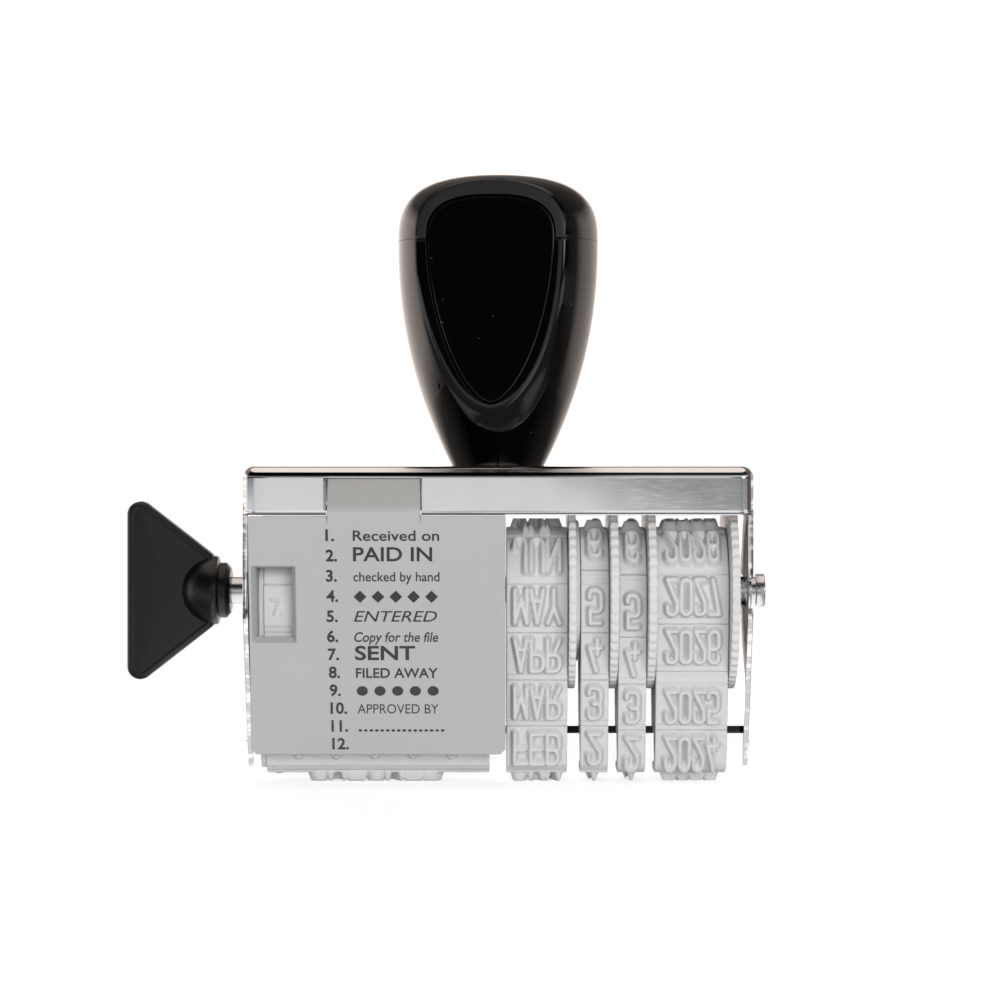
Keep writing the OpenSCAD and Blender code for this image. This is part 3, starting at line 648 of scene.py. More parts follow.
# %% Phrase band
PHRASE_ROWS = 40
LEDGE, LEDGE_OUT = 0.6, 0.3
FINE_WIDTH, FINE_COLUMNS, COLUMNS = 3.2, 56, 136
WORD_WIDTH, WORD_ADVANCE = 1.6, 2.2
NUMBER_RAISE = 0.2
NUMBER_X = 2.08
NUMBER_H, NUMBER_W, NUMBER_ADVANCE = 1.5, 0.7, 0.95
NUMBER_RELIEF, NUMBER_TOP, NUMBER_FLANK = 0.25, 0.1, 0.14
PHRASES = ["RECEIVED", "PAID", "CHECKED", "* * * * *", "ENTERED", "COPY", "SENT", "FILED", "o o o o o",
           "APPROVED", "- - - - -", ""]
WINDOW_STATION = 4
WINDOW_NUMBER = 7
low, high = box_mm("phrase_belt")
fine = np.linspace(low[0] - LEDGE_OUT, low[0] + FINE_WIDTH, FINE_COLUMNS)
x = np.concatenate([fine, np.linspace(fine[-1], high[0], COLUMNS)[1:]])
pads = np.clip((x - x[0] - LEDGE) / STEP, 0, 1)
across_x, along_t = np.meshgrid(x - low[0] - NUMBER_X, station_rows(PHRASE_ROWS))
tiles = []
for station in range(STATIONS):
    number = (station - WINDOW_STATION + WINDOW_NUMBER - 1) % STATIONS + 1
    tile = station_tile(x, PHRASES[number - 1], WORD_WIDTH, WORD_ADVANCE, PHRASE_ROWS)
    strokes = type_lines(f"{number}.", NUMBER_H, NUMBER_W, NUMBER_ADVANCE)
    figure = relief_mask(across_x, along_t - NUMBER_RAISE, strokes, NUMBER_TOP, NUMBER_FLANK)
    tiles.append((tile + NUMBER_RELIEF * figure) * pads)
skin = band_skin(x, tiles, LAG, LAST)
bands.append(make_piece("phrase_belt_moulded", [skin], "stamp", "phrase_belt", crease=75))

# %% [markdown]
# ## The handle
# The handle is a bulb turned about its own axis, with a flat at the front and the rear, and a pocket in
# each flat for a glossy insert. It is moulded in two pieces that meet at a parting line. Each height has a
# closed outline: round sides, flats, and a pocket with square walls. Points that don't exist at a height
# fall together there, and the welding removes them. The rows are close together where the flats and pockets
# begin and end.

# %% Half widths of the handle
HANDLE_TURN = math.radians(-6)
NECK_R = 5.4
BULB_R = 11.65
GRIP_H = 25.9
CAP_H = 7.75
GRIP_POWER = 2.15
DOME_POWER = 2.8
FLAT_Y = 8.0
FLAT_SHARP = 60
POCKET = 0.9
INSERT_T = 0.6
INSERT_EDGE = 0.35
INSERT_HALF = 7.4
INSERT_RISE = 5.0
INSERT_DROP = 18.9
INSERT_TOP_POWER = 2.7
INSERT_FOOT_POWER = 1.75
FIT = 0.02
ROW_GAP = 0.004
FLAT_HALF = 7.9


def bulb_radius(z):
    """Radius at a height z. Below the parting line at h it grows from the neck's to the bulb's by
    1 - (1 - z / h)^p, and above it the dome is a superellipse."""
    grip = NECK_R + (BULB_R - NECK_R) * (1 - np.clip(1 - z / GRIP_H, 0, 1) ** GRIP_POWER)
    dome = BULB_R * np.clip(1 - np.clip((z - GRIP_H) / CAP_H, 0, 1) ** DOME_POWER, 0, 1) ** (1 / DOME_POWER)
    return np.where(z <= GRIP_H, grip, dome)


def insert_half(z, grow=0.0):
    """Half width of the insert: superellipses above and below the parting line, and 0 beyond its ends."""
    above = np.clip((z - GRIP_H) / (INSERT_RISE + grow), 0, 1) ** INSERT_TOP_POWER
    below = np.clip((GRIP_H - z) / (INSERT_DROP + grow), 0, 1) ** INSERT_FOOT_POWER
    width = np.where(z > GRIP_H, np.clip(1 - above, 0, 1) ** (1 / INSERT_TOP_POWER),
                     np.clip(1 - below, 0, 1) ** (1 / INSERT_FOOT_POWER))
    return (INSERT_HALF + grow) * width


print("bulb:", 2 * BULB_R, "mm across, insert:", 2 * INSERT_HALF, "mm")

# %% Outlines of the handle
def handle_rows():
    """Heights for the outlines: even steps, and closer ones where the flat and the pocket begin and end."""
    a = np.linspace(0, np.pi / 2, 28)
    r = np.hypot(FLAT_Y, np.linspace(0, FLAT_HALF, 24))
    grip_tip = GRIP_H * (1 - np.clip(1 - (r - NECK_R) / (BULB_R - NECK_R), 0, 1) ** (1 / GRIP_POWER))
    dome = np.sin(a) ** (2 / DOME_POWER)
    dome_tip = (1 - (np.minimum(r, BULB_R) / BULB_R) ** DOME_POWER) ** (1 / DOME_POWER)
    rise = GRIP_H + (INSERT_RISE + FIT) * np.sin(a) ** (2 / INSERT_TOP_POWER)
    drop = GRIP_H - (INSERT_DROP + FIT) * np.sin(a) ** (2 / INSERT_FOOT_POWER)
    z = np.concatenate([np.linspace(0, GRIP_H, 60), grip_tip, GRIP_H + CAP_H * dome,
                        GRIP_H + CAP_H * dome_tip, rise, drop])
    z = np.unique(np.round(z, 4))
    return z[np.concatenate([[True], np.diff(z) > ROW_GAP])]


def quarter_outline(r, pocket):
    """A quarter of an outline from the middle of the front flat to the right side, for columns of r and
    pocket half widths: the pocket's floor and wall, then a circle of radius r that blends into a flat at f.
    At the angle a from the front, the outer line is r (1 + (r cos a / f)^p)^(-1 / p) from the axis."""
    edge = np.arccos(np.minimum(FLAT_Y / np.maximum(r, FLAT_Y), 1))
    pocket = np.minimum(pocket, FLAT_Y * np.tan(edge))
    start = np.arctan2(pocket, FLAT_Y)
    u = np.linspace(0, 1, 22)
    flat = start[:, None] + (edge - start)[:, None] * (1 - (1 - u) ** 2)
    side = edge[:, None] + (np.pi / 2 - edge)[:, None] * u ** 2
    angle = np.concatenate([flat, side[:, 1:]], 1)
    reach = r[:, None] * (1 + (r[:, None] * np.cos(angle) / FLAT_Y) ** FLAT_SHARP) ** (-1 / FLAT_SHARP)
    x, y = reach * np.sin(angle), reach * np.cos(angle)
    share = np.array([[0, 0.5, 1]])
    floor = (y[:, 0] - np.where(pocket > 0, POCKET, 0))[:, None] + 0 * share
    return np.concatenate([x[:, :1] * share, x], 1), -np.concatenate([floor, y], 1)


def handle_skin(z):
    """Outlines at the heights z, turned about the handle's axis and set on the frame: the right half is the
    front quarter and its mirror image, and the left half is the right half turned by half a turn."""
    x, y = quarter_outline(bulb_radius(z), insert_half(z, FIT))
    x, y = np.concatenate([x, x[:, -2::-1]], 1), np.concatenate([y, -y[:, -2::-1]], 1)
    x, y = np.concatenate([x, -x[:, 1:-1]], 1), np.concatenate([y, -y[:, 1:-1]], 1)
    points = np.stack([x, y, np.broadcast_to(z[:, None], x.shape)], -1)
    return surface(turned_handle(points), close_columns=True)


def turned_handle(points):
    """Points drawn about the handle's own axis, turned by its angle and raised on to the frame."""
    x, y, z = np.moveaxis(points, -1, 0)
    c, s = math.cos(HANDLE_TURN), math.sin(HANDLE_TURN)
    return np.stack([c * x - s * y, s * x + c * y, z + TOP_Z], -1)


rows = handle_rows()
print("handle outlines:", len(rows))

# %% Grip and cap
PARTING_GAP = 0.02
HANDLE_CREASE = 35
HANDLE_SOFT = 0.12
grip_rows = [*rows[rows < GRIP_H - PARTING_GAP / 2], GRIP_H - PARTING_GAP]
cap_rows = [GRIP_H + PARTING_GAP, *rows[rows > GRIP_H + PARTING_GAP * 1.5]]
moulded = []
for node, heights in (("handle_grip", grip_rows), ("handle_cap", cap_rows)):
    skin = handle_skin(np.array(heights))
    piece = make_piece(node + "_moulded", [skin], "stamp", node, crease=HANDLE_CREASE)
    soften_edges(piece, HANDLE_SOFT, angle=HANDLE_CREASE)
    moulded.append(piece)

# %% [markdown]
# The inserts are glossy plates that lie a little deep in the flats' pockets. A plate is a profile of its
# edge carried round its outline, so the soft front edge keeps one width all the way round and catches a
# thin line of light there.

# %% Inserts
BACK_RING = 0.5
FRONT_RINGS = np.array([0.05, 0.15])


def insert_plate(side):
    """Plate with a soft front edge: a profile of (inset, y) round the outline, p - inset * n for the
    outline's outward normal n, closed to the middle of both faces."""
    a = np.linspace(0, np.pi / 2, 40)
    rise, drop = np.sin(a) ** (2 / INSERT_TOP_POWER), np.sin(a) ** (2 / INSERT_FOOT_POWER)
    z = np.concatenate([-INSERT_DROP * drop[::-1], INSERT_RISE * rise[1:]])
    x = insert_half(z + GRIP_H)
    outline = np.stack([np.concatenate([x, -x[-2:0:-1]]), np.concatenate([z, z[-2:0:-1]])], -1)
    along = np.roll(outline, -1, 0) - np.roll(outline, 1, 0)
    normal = np.stack([along[:, 1], -along[:, 0]], -1) / np.linalg.norm(along, axis=1)[:, None]
    back = FLAT_Y - POCKET + FIT
    front = back + INSERT_T
    a = np.linspace(0, np.pi / 2, 7)
    inset = np.concatenate([[BACK_RING, 0], INSERT_EDGE * (1 - np.cos(a)), INSERT_EDGE + FRONT_RINGS])
    y = np.concatenate([[back, back], front - INSERT_EDGE * (1 - np.sin(a)), [front, front]])
    rim = outline[None] - inset[:, None, None] * normal[None]
    rim = np.concatenate([0 * rim[:1], rim, 0 * rim[:1]])
    y = np.broadcast_to(np.concatenate([y[:1], y, y[-1:]])[:, None], rim.shape[:2])
    points = np.stack([rim[..., 0], side * y, GRIP_H + rim[..., 1]], -1)
    return surface(turned_handle(points), close_columns=True)


inserts = [make_piece(node + "_plate", [insert_plate(side)], "stamp", node, crease=30)
           for node, side in (("front_insert", -1), ("rear_insert", 1))]

# %% [markdown]
# ## The knob
# The winged knob is a flat plate with soft edges, a half ball at its root and a collar on the axle. The
# wing is an edge profile carried round a four-sided outline with soft corners, with a fine groove inside
# its rim, and drawn in to the middle of both faces.

# %% Wing, half ball and collar
knob_low, knob_high = box_mm("knob")
WING_ROOT_X = knob_high[0] - 1.8
WING_T = 2.8
WING_ROOT_H = 9.4
WING_R = 1.5
WING_EDGE = 0.6
GROOVE_INSET = np.array([0.1, 0.2, 0.4])
GROOVE_DEPTH = np.array([0.1, 0.13, 0.08])
BOSS_R = 4.0
BOSS_EDGE = (0.35, 0.1)
COLLAR_R = 3.2
COLLAR_START = 0.5
COLLAR_BEVEL = (0.5, 0.6)
KNOB_SOFT = 0.12


def wing_skin():
    """Profile of (inset, y) round the outline of four corner discs: in the direction n the outline is
    c + (r - inset) n for the disc that reaches farthest that way. The faces close towards the middle."""
    tip, root = (knob_high[2] - knob_low[2]) / 2 - WING_R, WING_ROOT_H / 2 - WING_R
    left, right = knob_low[0] + WING_R, WING_ROOT_X - WING_R
    discs = np.array([(left, -tip), (right, -root), (right, root), (left, tip)])
    around = np.linspace(0, 2 * np.pi, 180, endpoint=False)
    normal = np.stack([np.cos(around), np.sin(around)], -1)
    centre = discs[np.argmax(normal @ discs.T, 1)]
    a = np.linspace(0, np.pi / 2, 7)
    inset = np.concatenate([WING_EDGE * (1 - np.cos(a)), WING_EDGE + GROOVE_INSET])
    y = np.concatenate([WING_T / 2 - WING_EDGE * (1 - np.sin(a)), WING_T / 2 - GROOVE_DEPTH])
    inset, y = np.concatenate([inset[::-1], inset]), np.concatenate([y[::-1], -y])
    rim = centre[None] + (WING_R - inset)[:, None, None] * normal[None]
    middle = discs.mean(0) + 0 * rim[:1]
    rim = np.concatenate([middle, rim, middle])
    y = np.concatenate([y[:1], y, y[-1:]])
    points = np.stack([rim[..., 0], np.broadcast_to(y[:, None], rim.shape[:2]), AXLE_Z + rim[..., 1]], -1)
    return surface(points, close_columns=True)


ball = np.linspace(np.pi, np.pi / 2, 16)
ball_profile = np.stack([WING_ROOT_X + BOSS_R * np.cos(ball), BOSS_R * np.sin(ball)], -1)
collar = np.array([(WING_ROOT_X, BOSS_R), (WING_ROOT_X + BOSS_EDGE[0], BOSS_R - BOSS_EDGE[1]),
                   (WING_ROOT_X + COLLAR_START, COLLAR_R), (knob_high[0] - COLLAR_BEVEL[0], COLLAR_R),
                   (knob_high[0], COLLAR_R - COLLAR_BEVEL[1]), (knob_high[0], 0)])
collar_profile = softened(collar, [KNOB_SOFT] * len(collar), 4)
hub = turned(np.concatenate([ball_profile[:-1], collar_profile]), 72)
knob = make_piece("knob_moulded", [wing_skin(), hub], "knob_shaft", "knob", crease=45)

# %% [markdown]
# ## The cover and its print
# The grey cover is a flat moulding whose solid already has the right shape, so it stays. It is welded, its
# flat faces are joined and its edges are softened by modifiers. The list on it is ink: letters two
# hundredths of a millimetre thick. The words are plain office words and ornaments. The list has two blocks
# of six rows, and the lower block's rows are closer together and run a little to the right.

# %% Cover
COVER_SOFT, COVER_CREASE = 0.14, 18
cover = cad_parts["phrase_cover"]
add_modifier(cover, "WELD", merge_threshold=WELD * 10)
add_modifier(cover, "DECIMATE", decimate_type="DISSOLVE", angle_limit=math.radians(1))
soften_edges(cover, COVER_SOFT, angle=COVER_CREASE)
print("cover:", len(cover.data.polygons), "faces before its modifiers")

# %% Print on the cover
COVER_LEAN = (lean_top + lean_foot) / 2
COVER_T = 1.2
COVER_GAP = 0.3
INK = 0.02
cover_out = np.array([-math.cos(COVER_LEAN), -math.sin(COVER_LEAN)])
COVER_FACE = run_c @ cover_out + BULGE_R + WEB + PAD + RELIEF + COVER_GAP + COVER_T
BLOCK_ENDS = [0, 5, LAST]
ROW_Z = np.interp(range(STATIONS), BLOCK_ENDS, [28.15, 16.65, 4.25])
ROW_X = np.interp(range(STATIONS), BLOCK_ENDS, [0, 0.05, 0.5])
NUMBER_LEFT = -19.37
WORD_LEFT = -16.3
NUMBER_STYLE = (1.85, 0.05, 0, 0)
# Words, size, weight, slant and the width that the line fills.
LIST = [
    ("Received on", 1.7, 0.022, 0, 9.7),
    ("PAID IN", 2.3, 0.035, 0, 8.9),
    ("checked by hand", 1.55, 0.014, 0, 9.7),
    ("◆ ◆ ◆ ◆ ◆", 1.5, 0, 0, 9.5),
    ("ENTERED", 1.8, 0.005, 0.25, 9.4),
    ("Copy for the file", 1.6, 0.02, 0.2, 9.5),
    ("SENT", 2.3, 0.05, 0, 6.8),
    ("FILED AWAY", 1.6, 0.03, 0, 9.3),
    ("● ● ● ● ●", 1.5, 0, 0, 9.3),
    ("APPROVED BY", 1.6, 0, 0, 9.2),
    ("................", 1.9, 0.03, 0, 9.8),
]


def text_outline(text, size, weight, slant, width):
    """Filled letters as points (x, y, z) and faces, in millimetres from the line's left edge. A width that
    isn't 0 draws the line out to fill it."""
    curve = bpy.data.curves.new("line", "FONT")
    curve.body, curve.size, curve.offset, curve.shear = text, size, weight, slant
    curve.extrude, curve.resolution_u = INK / 2, 4
    holder = bpy.data.objects.new("line", curve)
    bpy.context.scene.collection.objects.link(holder)
    mesh = bpy.data.meshes.new_from_object(holder.evaluated_get(bpy.context.evaluated_depsgraph_get()))
    points = np.zeros(len(mesh.vertices) * 3)
    mesh.vertices.foreach_get("co", points)
    faces = [list(p.vertices) for p in mesh.polygons]
    bpy.data.objects.remove(holder)
    points = points.reshape(-1, 3)
    points[:, 0] -= points[:, 0].min()
    if width:
        points *= [width / np.ptp(points[:, 0]), 1, 1]
    return points, faces


def on_cover(points, x, z):
    """Puts letters on the cover's face: their x runs along X, y up the face and z out of it."""
    up = np.array([0, cover_out[1], -cover_out[0]])
    out = np.array([0, cover_out[0], cover_out[1]])
    start = np.array([x, (COVER_FACE - z * cover_out[1]) / cover_out[0], z])
    return start + points[:, :1] * [1, 0, 0] + points[:, 1:2] * up + (points[:, 2:] + INK / 2) * out


numbers = [(f"{i + 1}.", *NUMBER_STYLE) for i in range(STATIONS)]
all_points, all_faces = [], []
for column, left in ((numbers, NUMBER_LEFT), (LIST, WORD_LEFT)):
    for line, x, z in zip(column, left + ROW_X, ROW_Z):
        points, faces = text_outline(*line)
        start = sum(len(p) for p in all_points)
        all_points.append(on_cover(points, x, z))
        all_faces += [[v + start for v in face] for face in faces]
print_mesh = bpy.data.meshes.new("cover_print")
print_mesh.from_pydata((np.concatenate(all_points) * MM).tolist(), [], all_faces)
cover_print = bpy.data.objects.new("cover_print", print_mesh)
bpy.context.scene.collection.objects.link(cover_print)
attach(cover_print, "stamp")
print("print:", len(all_faces), "faces")

# %% [markdown]
# ## Finishes
# Every finish is a small graph of shader nodes. A wrapped socket lets their sums be written as sums, and
# all patterns read Object coordinates, so they stay on their pieces from any side.

# %% Sums of shader sockets
class Wire:
    """An output socket of a shader tree. Operators on it add Math nodes."""

    def __init__(self, tree, socket):
        self.tree, self.socket = tree, socket

    def node(self, kind, settings=None, inputs=None, out=0):
        """A node of that kind, with its settings first and then its sockets' values or links."""
        made = self.tree.nodes.new("ShaderNode" + kind)
        for key, value in (settings or {}).items():
            setattr(made, key, value)
        for key, value in (inputs or {}).items():
            if isinstance(value, Wire):
                self.tree.links.new(value.socket, made.inputs[key])
            else:
                made.inputs[key].default_value = value
        return Wire(self.tree, made.outputs[out])

    def math(self, operation, first, second):
        """A Math node on two values."""
        return self.node("Math", {"operation": operation}, {0: first, 1: second})

    def __add__(self, other):
        return self.math("ADD", self, other)

    def __sub__(self, other):
        return self.math("SUBTRACT", self, other)

    def __rsub__(self, other):
        return self.math("SUBTRACT", other, self)

    def __mul__(self, other):
        return self.math("MULTIPLY", self, other)

    def __abs__(self):
        return self.math("ABSOLUTE", self, 0)

    __radd__ = __add__
    __rmul__ = __mul__

    def noise(self, scale, detail=3.0, rough=0.5):
        """Noise at this place, about 0.5."""
        return self.node("TexNoise", {}, {
            "Vector": self, "Scale": scale, "Detail": detail, "Roughness": rough})

    def stretched(self, x, y, z):
        """This place with its axes scaled, so that a pattern on it is drawn out."""
        return self.node("VectorMath", {"operation": "MULTIPLY"}, {0: self, 1: (x, y, z)})

    def axis(self, name):
        """One part of this place."""
        return self.node("SeparateXYZ", {}, {0: self}, "XYZ".index(name))

    def ramp(self, low, high):
        """0 below low and 1 above high, straight between them."""
        return self.node("MapRange", {"clamp": True}, {"Value": self, "From Min": low, "From Max": high})

    def between(self, low, full, fade, high):
        """0 below low and above high, 1 from full to fade, straight between them."""
        return self.ramp(low, full) * (1 - self.ramp(fade, high))

    def mix(self, first, second):
        """Colour between two, by this value."""
        return self.node("Mix", {"data_type": "RGBA"}, {0: self, 6: first, 7: second}, 2)

    def bump(self, height, strength):
        """Normal of a surface raised by this value times height."""
        return self.node("Bump", {}, {"Height": self, "Strength": strength, "Distance": height})


def begin(name):
    """A new material and its place in Object coordinates."""
    material = bpy.data.materials.new(name)
    material.use_nodes = True
    material.node_tree.nodes.clear()
    place = material.node_tree.nodes.new("ShaderNodeTexCoord")
    return material, Wire(material.node_tree, place.outputs["Object"])


def connect_output(material, shader):
    """Makes a shader the material's surface."""
    output = material.node_tree.nodes.new("ShaderNodeOutputMaterial")
    material.node_tree.links.new(shader.socket, output.inputs["Surface"])


def complete(material, place, inputs):
    """Feeds a Principled shader, which becomes the material's surface."""
    connect_output(material, place.node("BsdfPrincipled", {}, inputs))
    return material


def grey(value, warm=0.0):
    """Linear grey from a display grey of 0 to 255, a little warmer or cooler."""
    linear = ((value / 255 + 0.055) / 1.055) ** 2.4
    return (linear * (1 + warm), linear, linear * (1 - warm), 1)


def dress(material, *pieces):
    """Puts one finish on pieces, in place of what they had."""
    for piece in pieces:
        piece.data.materials.clear()
        piece.data.materials.append(material)
    print(material.name, "on", len(pieces), "pieces,", len(material.node_tree.nodes), "nodes")


print("grey 128 is", round(grey(128)[0], 3), "in linear light")

# %% [markdown]
# Bright metal is mostly what it mirrors, so its own detail lies in the gloss: faint waves, fine marks of
# wiping and turning, and dull dashes where the plating has worn thin along the sheet's edges.

# %% Metals
WORN_CORNER_X, WORN_CORNER_Y = (0.0281, 0.0286), (0.0100, 0.0104)
WORN_END_X = (0.0279, 0.0281)
WORN_EDGE = (0.3, 0.2)


def chrome():
    """Bright plate: faint waves of the drawn sheet, fine wiping marks in its gloss, and dull dashes where
    the plating is thin, at the tray's corners and along the arms' slanted edges. A slanted edge lies where
    the depth is half + slope * height."""
    material, place = begin("chrome_plate")
    waves = place.noise(60, 2)
    marks = place.stretched(60, 900, 900).noise(9, 4, 0.65)
    side, depth = abs(place.axis("X")), abs(place.axis("Y"))
    corner = side.ramp(*WORN_CORNER_X) * depth.ramp(*WORN_CORNER_Y)
    slope = (ARM_HALF - FOOT_HALF) / (TAPER_Z - FOOT_Z - FOOT_CUT)
    half = FOOT_HALF - (FOOT_Z + FOOT_CUT) * slope
    edge = (depth - place.axis("Z") * slope).ramp((half - WORN_EDGE[0]) * MM, (half - WORN_EDGE[1]) * MM)
    edge = edge * side.ramp(*WORN_END_X) * 0.6
    worn = (corner + edge) * place.stretched(300, 300, 900).noise(1, 3, 0.6).ramp(0.40, 0.52)
    plating = place.noise(300, 2).mix((0.76, 0.765, 0.78, 1), (0.83, 0.835, 0.85, 1))
    return complete(material, place, {
        "Base Color": worn.mix(plating, (0.3, 0.27, 0.27, 1)),
        "Metallic": 1.0,
        "Roughness": 0.05 + marks.ramp(0.45, 0.8) * 0.06,
        "Normal": waves.bump(0.0006, 0.08)})


def steel():
    """Bright turned steel: rings round the axle's line."""
    material, place = begin("bright_turned_steel")
    rings = place.stretched(2600, 40, 40).noise(2, 3, 0.6)
    return complete(material, place, {
        "Base Color": rings.mix((0.66, 0.66, 0.67, 1), (0.82, 0.82, 0.83, 1)),
        "Metallic": 1.0,
        "Roughness": 0.16 + rings * 0.16,
        "Normal": rings.bump(0.00005, 0.25)})


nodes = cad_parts
dress(chrome(), sheet, lip, platen)
dress(steel(), washer, end_cap, nodes["axle"], nodes["handle_screw"], nodes["handle_washer"])

# %% [markdown]
# The handle is a gloss black moulding that is nearly all reflection. The knob is satin, from a mould with a
# fine spark grain, and the cover is a plain grey moulding. Each has a grain at its own scale and a slow
# cloud in its colour or gloss, because an even colour looks like paper.

# %% Black and grey plastics
FLAT_RIM = (0.00785, 0.0079)
RIM_START = 0.1
BALL_SHADE_EDGE = (0.02, 0.04)
# Heights where the painted shade on the cover's tab begins.
COVER_TAB_SHADE_Z = (31.3, 32.2)


def handle_black():
    """Gloss black moulding: flow marks in the gloss, a satin rim on the cap's flats and specks of dust."""
    material, place = begin("handle_black")
    flow = place.noise(90, 3)
    grain = place.noise(5200, 2)
    dust = place.noise(1500, 1).ramp(0.79, 0.81)
    own = place.node("Mapping", {"vector_type": "TEXTURE"}, {
        "Vector": place, "Rotation": (0, 0, HANDLE_TURN)})
    rim = abs(own.axis("Y")).ramp(*FLAT_RIM)
    rim = rim * own.axis("Z").ramp((TOP_Z + GRIP_H) * MM, (TOP_Z + GRIP_H + RIM_START) * MM)
    black = dust.mix((0.0008, 0.0008, 0.0009, 1), (0.05, 0.05, 0.05, 1))
    return complete(material, place, {
        "Base Color": (rim * (0.7 + grain * 0.6)).mix(black, (0.012, 0.012, 0.013, 1)),
        "Roughness": 0.04 + flow.ramp(0.4, 0.9) * 0.05 + rim * 0.3,
        "IOR": 1.5,
        "Normal": (flow + grain * 0.01).bump(0.0002, 0.04)})


def knob_black():
    """Satin black moulding with a fine spark grain, and a polished half ball whose colour is also painted
    darker, as shade.
    """
    material, place = begin("knob_black")
    grain = place.noise(3800, 3, 0.6)
    cloud = place.noise(160, 3)
    root = (WING_ROOT_X * MM, 0, AXLE_Z * MM)
    from_root = place.node("VectorMath", {"operation": "DISTANCE"}, {0: place, 1: root}, "Value")
    # The half ball is polished, and its colour is painted darker as shade.
    ball = 1 - from_root.ramp((BOSS_R + BALL_SHADE_EDGE[0]) * MM, (BOSS_R + BALL_SHADE_EDGE[1]) * MM)
    satin = cloud.mix((0.0065, 0.0063, 0.0075, 1), (0.010, 0.0098, 0.0112, 1))
    return complete(material, place, {
        "Base Color": ball.mix(satin, (0.0022, 0.0022, 0.0025, 1)),
        "Roughness": 0.36 + cloud * 0.12 - ball * 0.1,
        "Specular IOR Level": 0.52,
        "Normal": grain.bump(0.00006, 0.35)})


def cover_grey():
    """Satin grey moulding with a fine grain and faint clouds, and painted shade: a darker grey on the tab at
    the top, which leans back.
    """
    material, place = begin("cover_grey")
    grain = place.noise(3000, 3, 0.6)
    cloud = place.noise(70, 3)
    # Painted shade: above this height the tab leans back out of the light, so its grey is painted darker.
    painted_tab_shade = place.axis("Z").ramp(COVER_TAB_SHADE_Z[0] * MM, COVER_TAB_SHADE_Z[1] * MM)
    return complete(material, place, {
        "Base Color": painted_tab_shade.mix(cloud.mix(grey(176, 0.006), grey(182, 0.002)), grey(160, 0.03)),
        "Roughness": 0.46 + grain * 0.1,
        "Normal": grain.bump(0.00004, 0.25)})


dress(handle_black(), *moulded, *inserts)
dress(knob_black(), knob)
dress(cover_grey(), cover)


# %% Rubber, wheels and ink
def band_rubber():
    """Matt pale rubber: clouds of wear and a dusty grain."""
    material, place = begin("band_rubber")
    grain = place.noise(4200, 2, 0.6)
    cloud = place.noise(220, 4, 0.6)
    return complete(material, place, {
        "Base Color": (cloud * 0.8 + grain * 0.2).mix(grey(204, 0.004), grey(216, 0.008)),
        "Roughness": 0.62 + cloud * 0.14,
        "Normal": grain.bump(0.00005, 0.3)})


def wheel_cream():
    """Pale warm plastic of the wheels and the drum, a little darker in its clouds."""
    material, place = begin("wheel_cream")
    cloud = place.noise(260, 3)
    grain = place.noise(3600, 2)
    return complete(material, place, {
        "Base Color": cloud.mix(grey(208, 0.02), grey(220, 0.012)),
        "Roughness": 0.38 + cloud * 0.14,
        "Normal": grain.bump(0.00004, 0.25)})


def ink_dark():
    """Dark grey print that is a little uneven."""
    material, place = begin("ink_dark")
    cloud = place.noise(1500, 3)
    return complete(material, place, {
        "Base Color": cloud.mix(grey(44), grey(62)),
        "Roughness": 0.5 + cloud * 0.15})


dress(band_rubber(), *bands)
dress(wheel_cream(), *thumb_wheels, nodes["phrase_drum"])
dress(ink_dark(), cover_print)

# %% [markdown]
# ## Light and camera
# The photograph is a product shot on white: a white floor that runs on without end, a bright surround at
# the back and the sides, and a darker room behind the camera, which the gloss black handle shows. The floor
# and the world are white to the camera, so the background is white without more light on the object. The
# floor and the lamps are given in metres.

# %% Camera
PHOTO = 1000
SENSOR = 36
VIEW_DISTANCE = 340
PIXELS_PER_MM = 8.6
EYE_Z = 39.45
EYE_ROW = 440
CENTRE_COLUMN = 498
camera_data = bpy.data.cameras.new("camera")
camera_data.sensor_width = SENSOR
camera_data.lens = PIXELS_PER_MM * VIEW_DISTANCE / PHOTO * SENSOR
camera_data.shift_x = (PHOTO / 2 - CENTRE_COLUMN) / PHOTO
camera_data.shift_y = (EYE_ROW - PHOTO / 2) / PHOTO
camera_data.clip_start = 0.01
camera_data.clip_end = 100
camera = bpy.data.objects.new("camera", camera_data)
camera.location = (0, -VIEW_DISTANCE * MM, EYE_Z * MM)
camera.rotation_euler = (math.pi / 2, 0, 0)
bpy.context.scene.collection.objects.link(camera)
bpy.context.scene.camera = camera
bpy.context.scene.view_settings.view_transform = "Standard"
print("lens:", round(camera_data.lens, 1), "mm, camera", VIEW_DISTANCE, "mm away")

# %% [markdown]
# The floor is matt white and keeps the stamp's shadow near it. Farther off it gives way to the white
# surround. Gloss sees only two parts of it: a strip under the stamp, which whitens the bar and the arms'
# edges, and a weaker zone in front at either side, which brightens the skirt in slanting views.

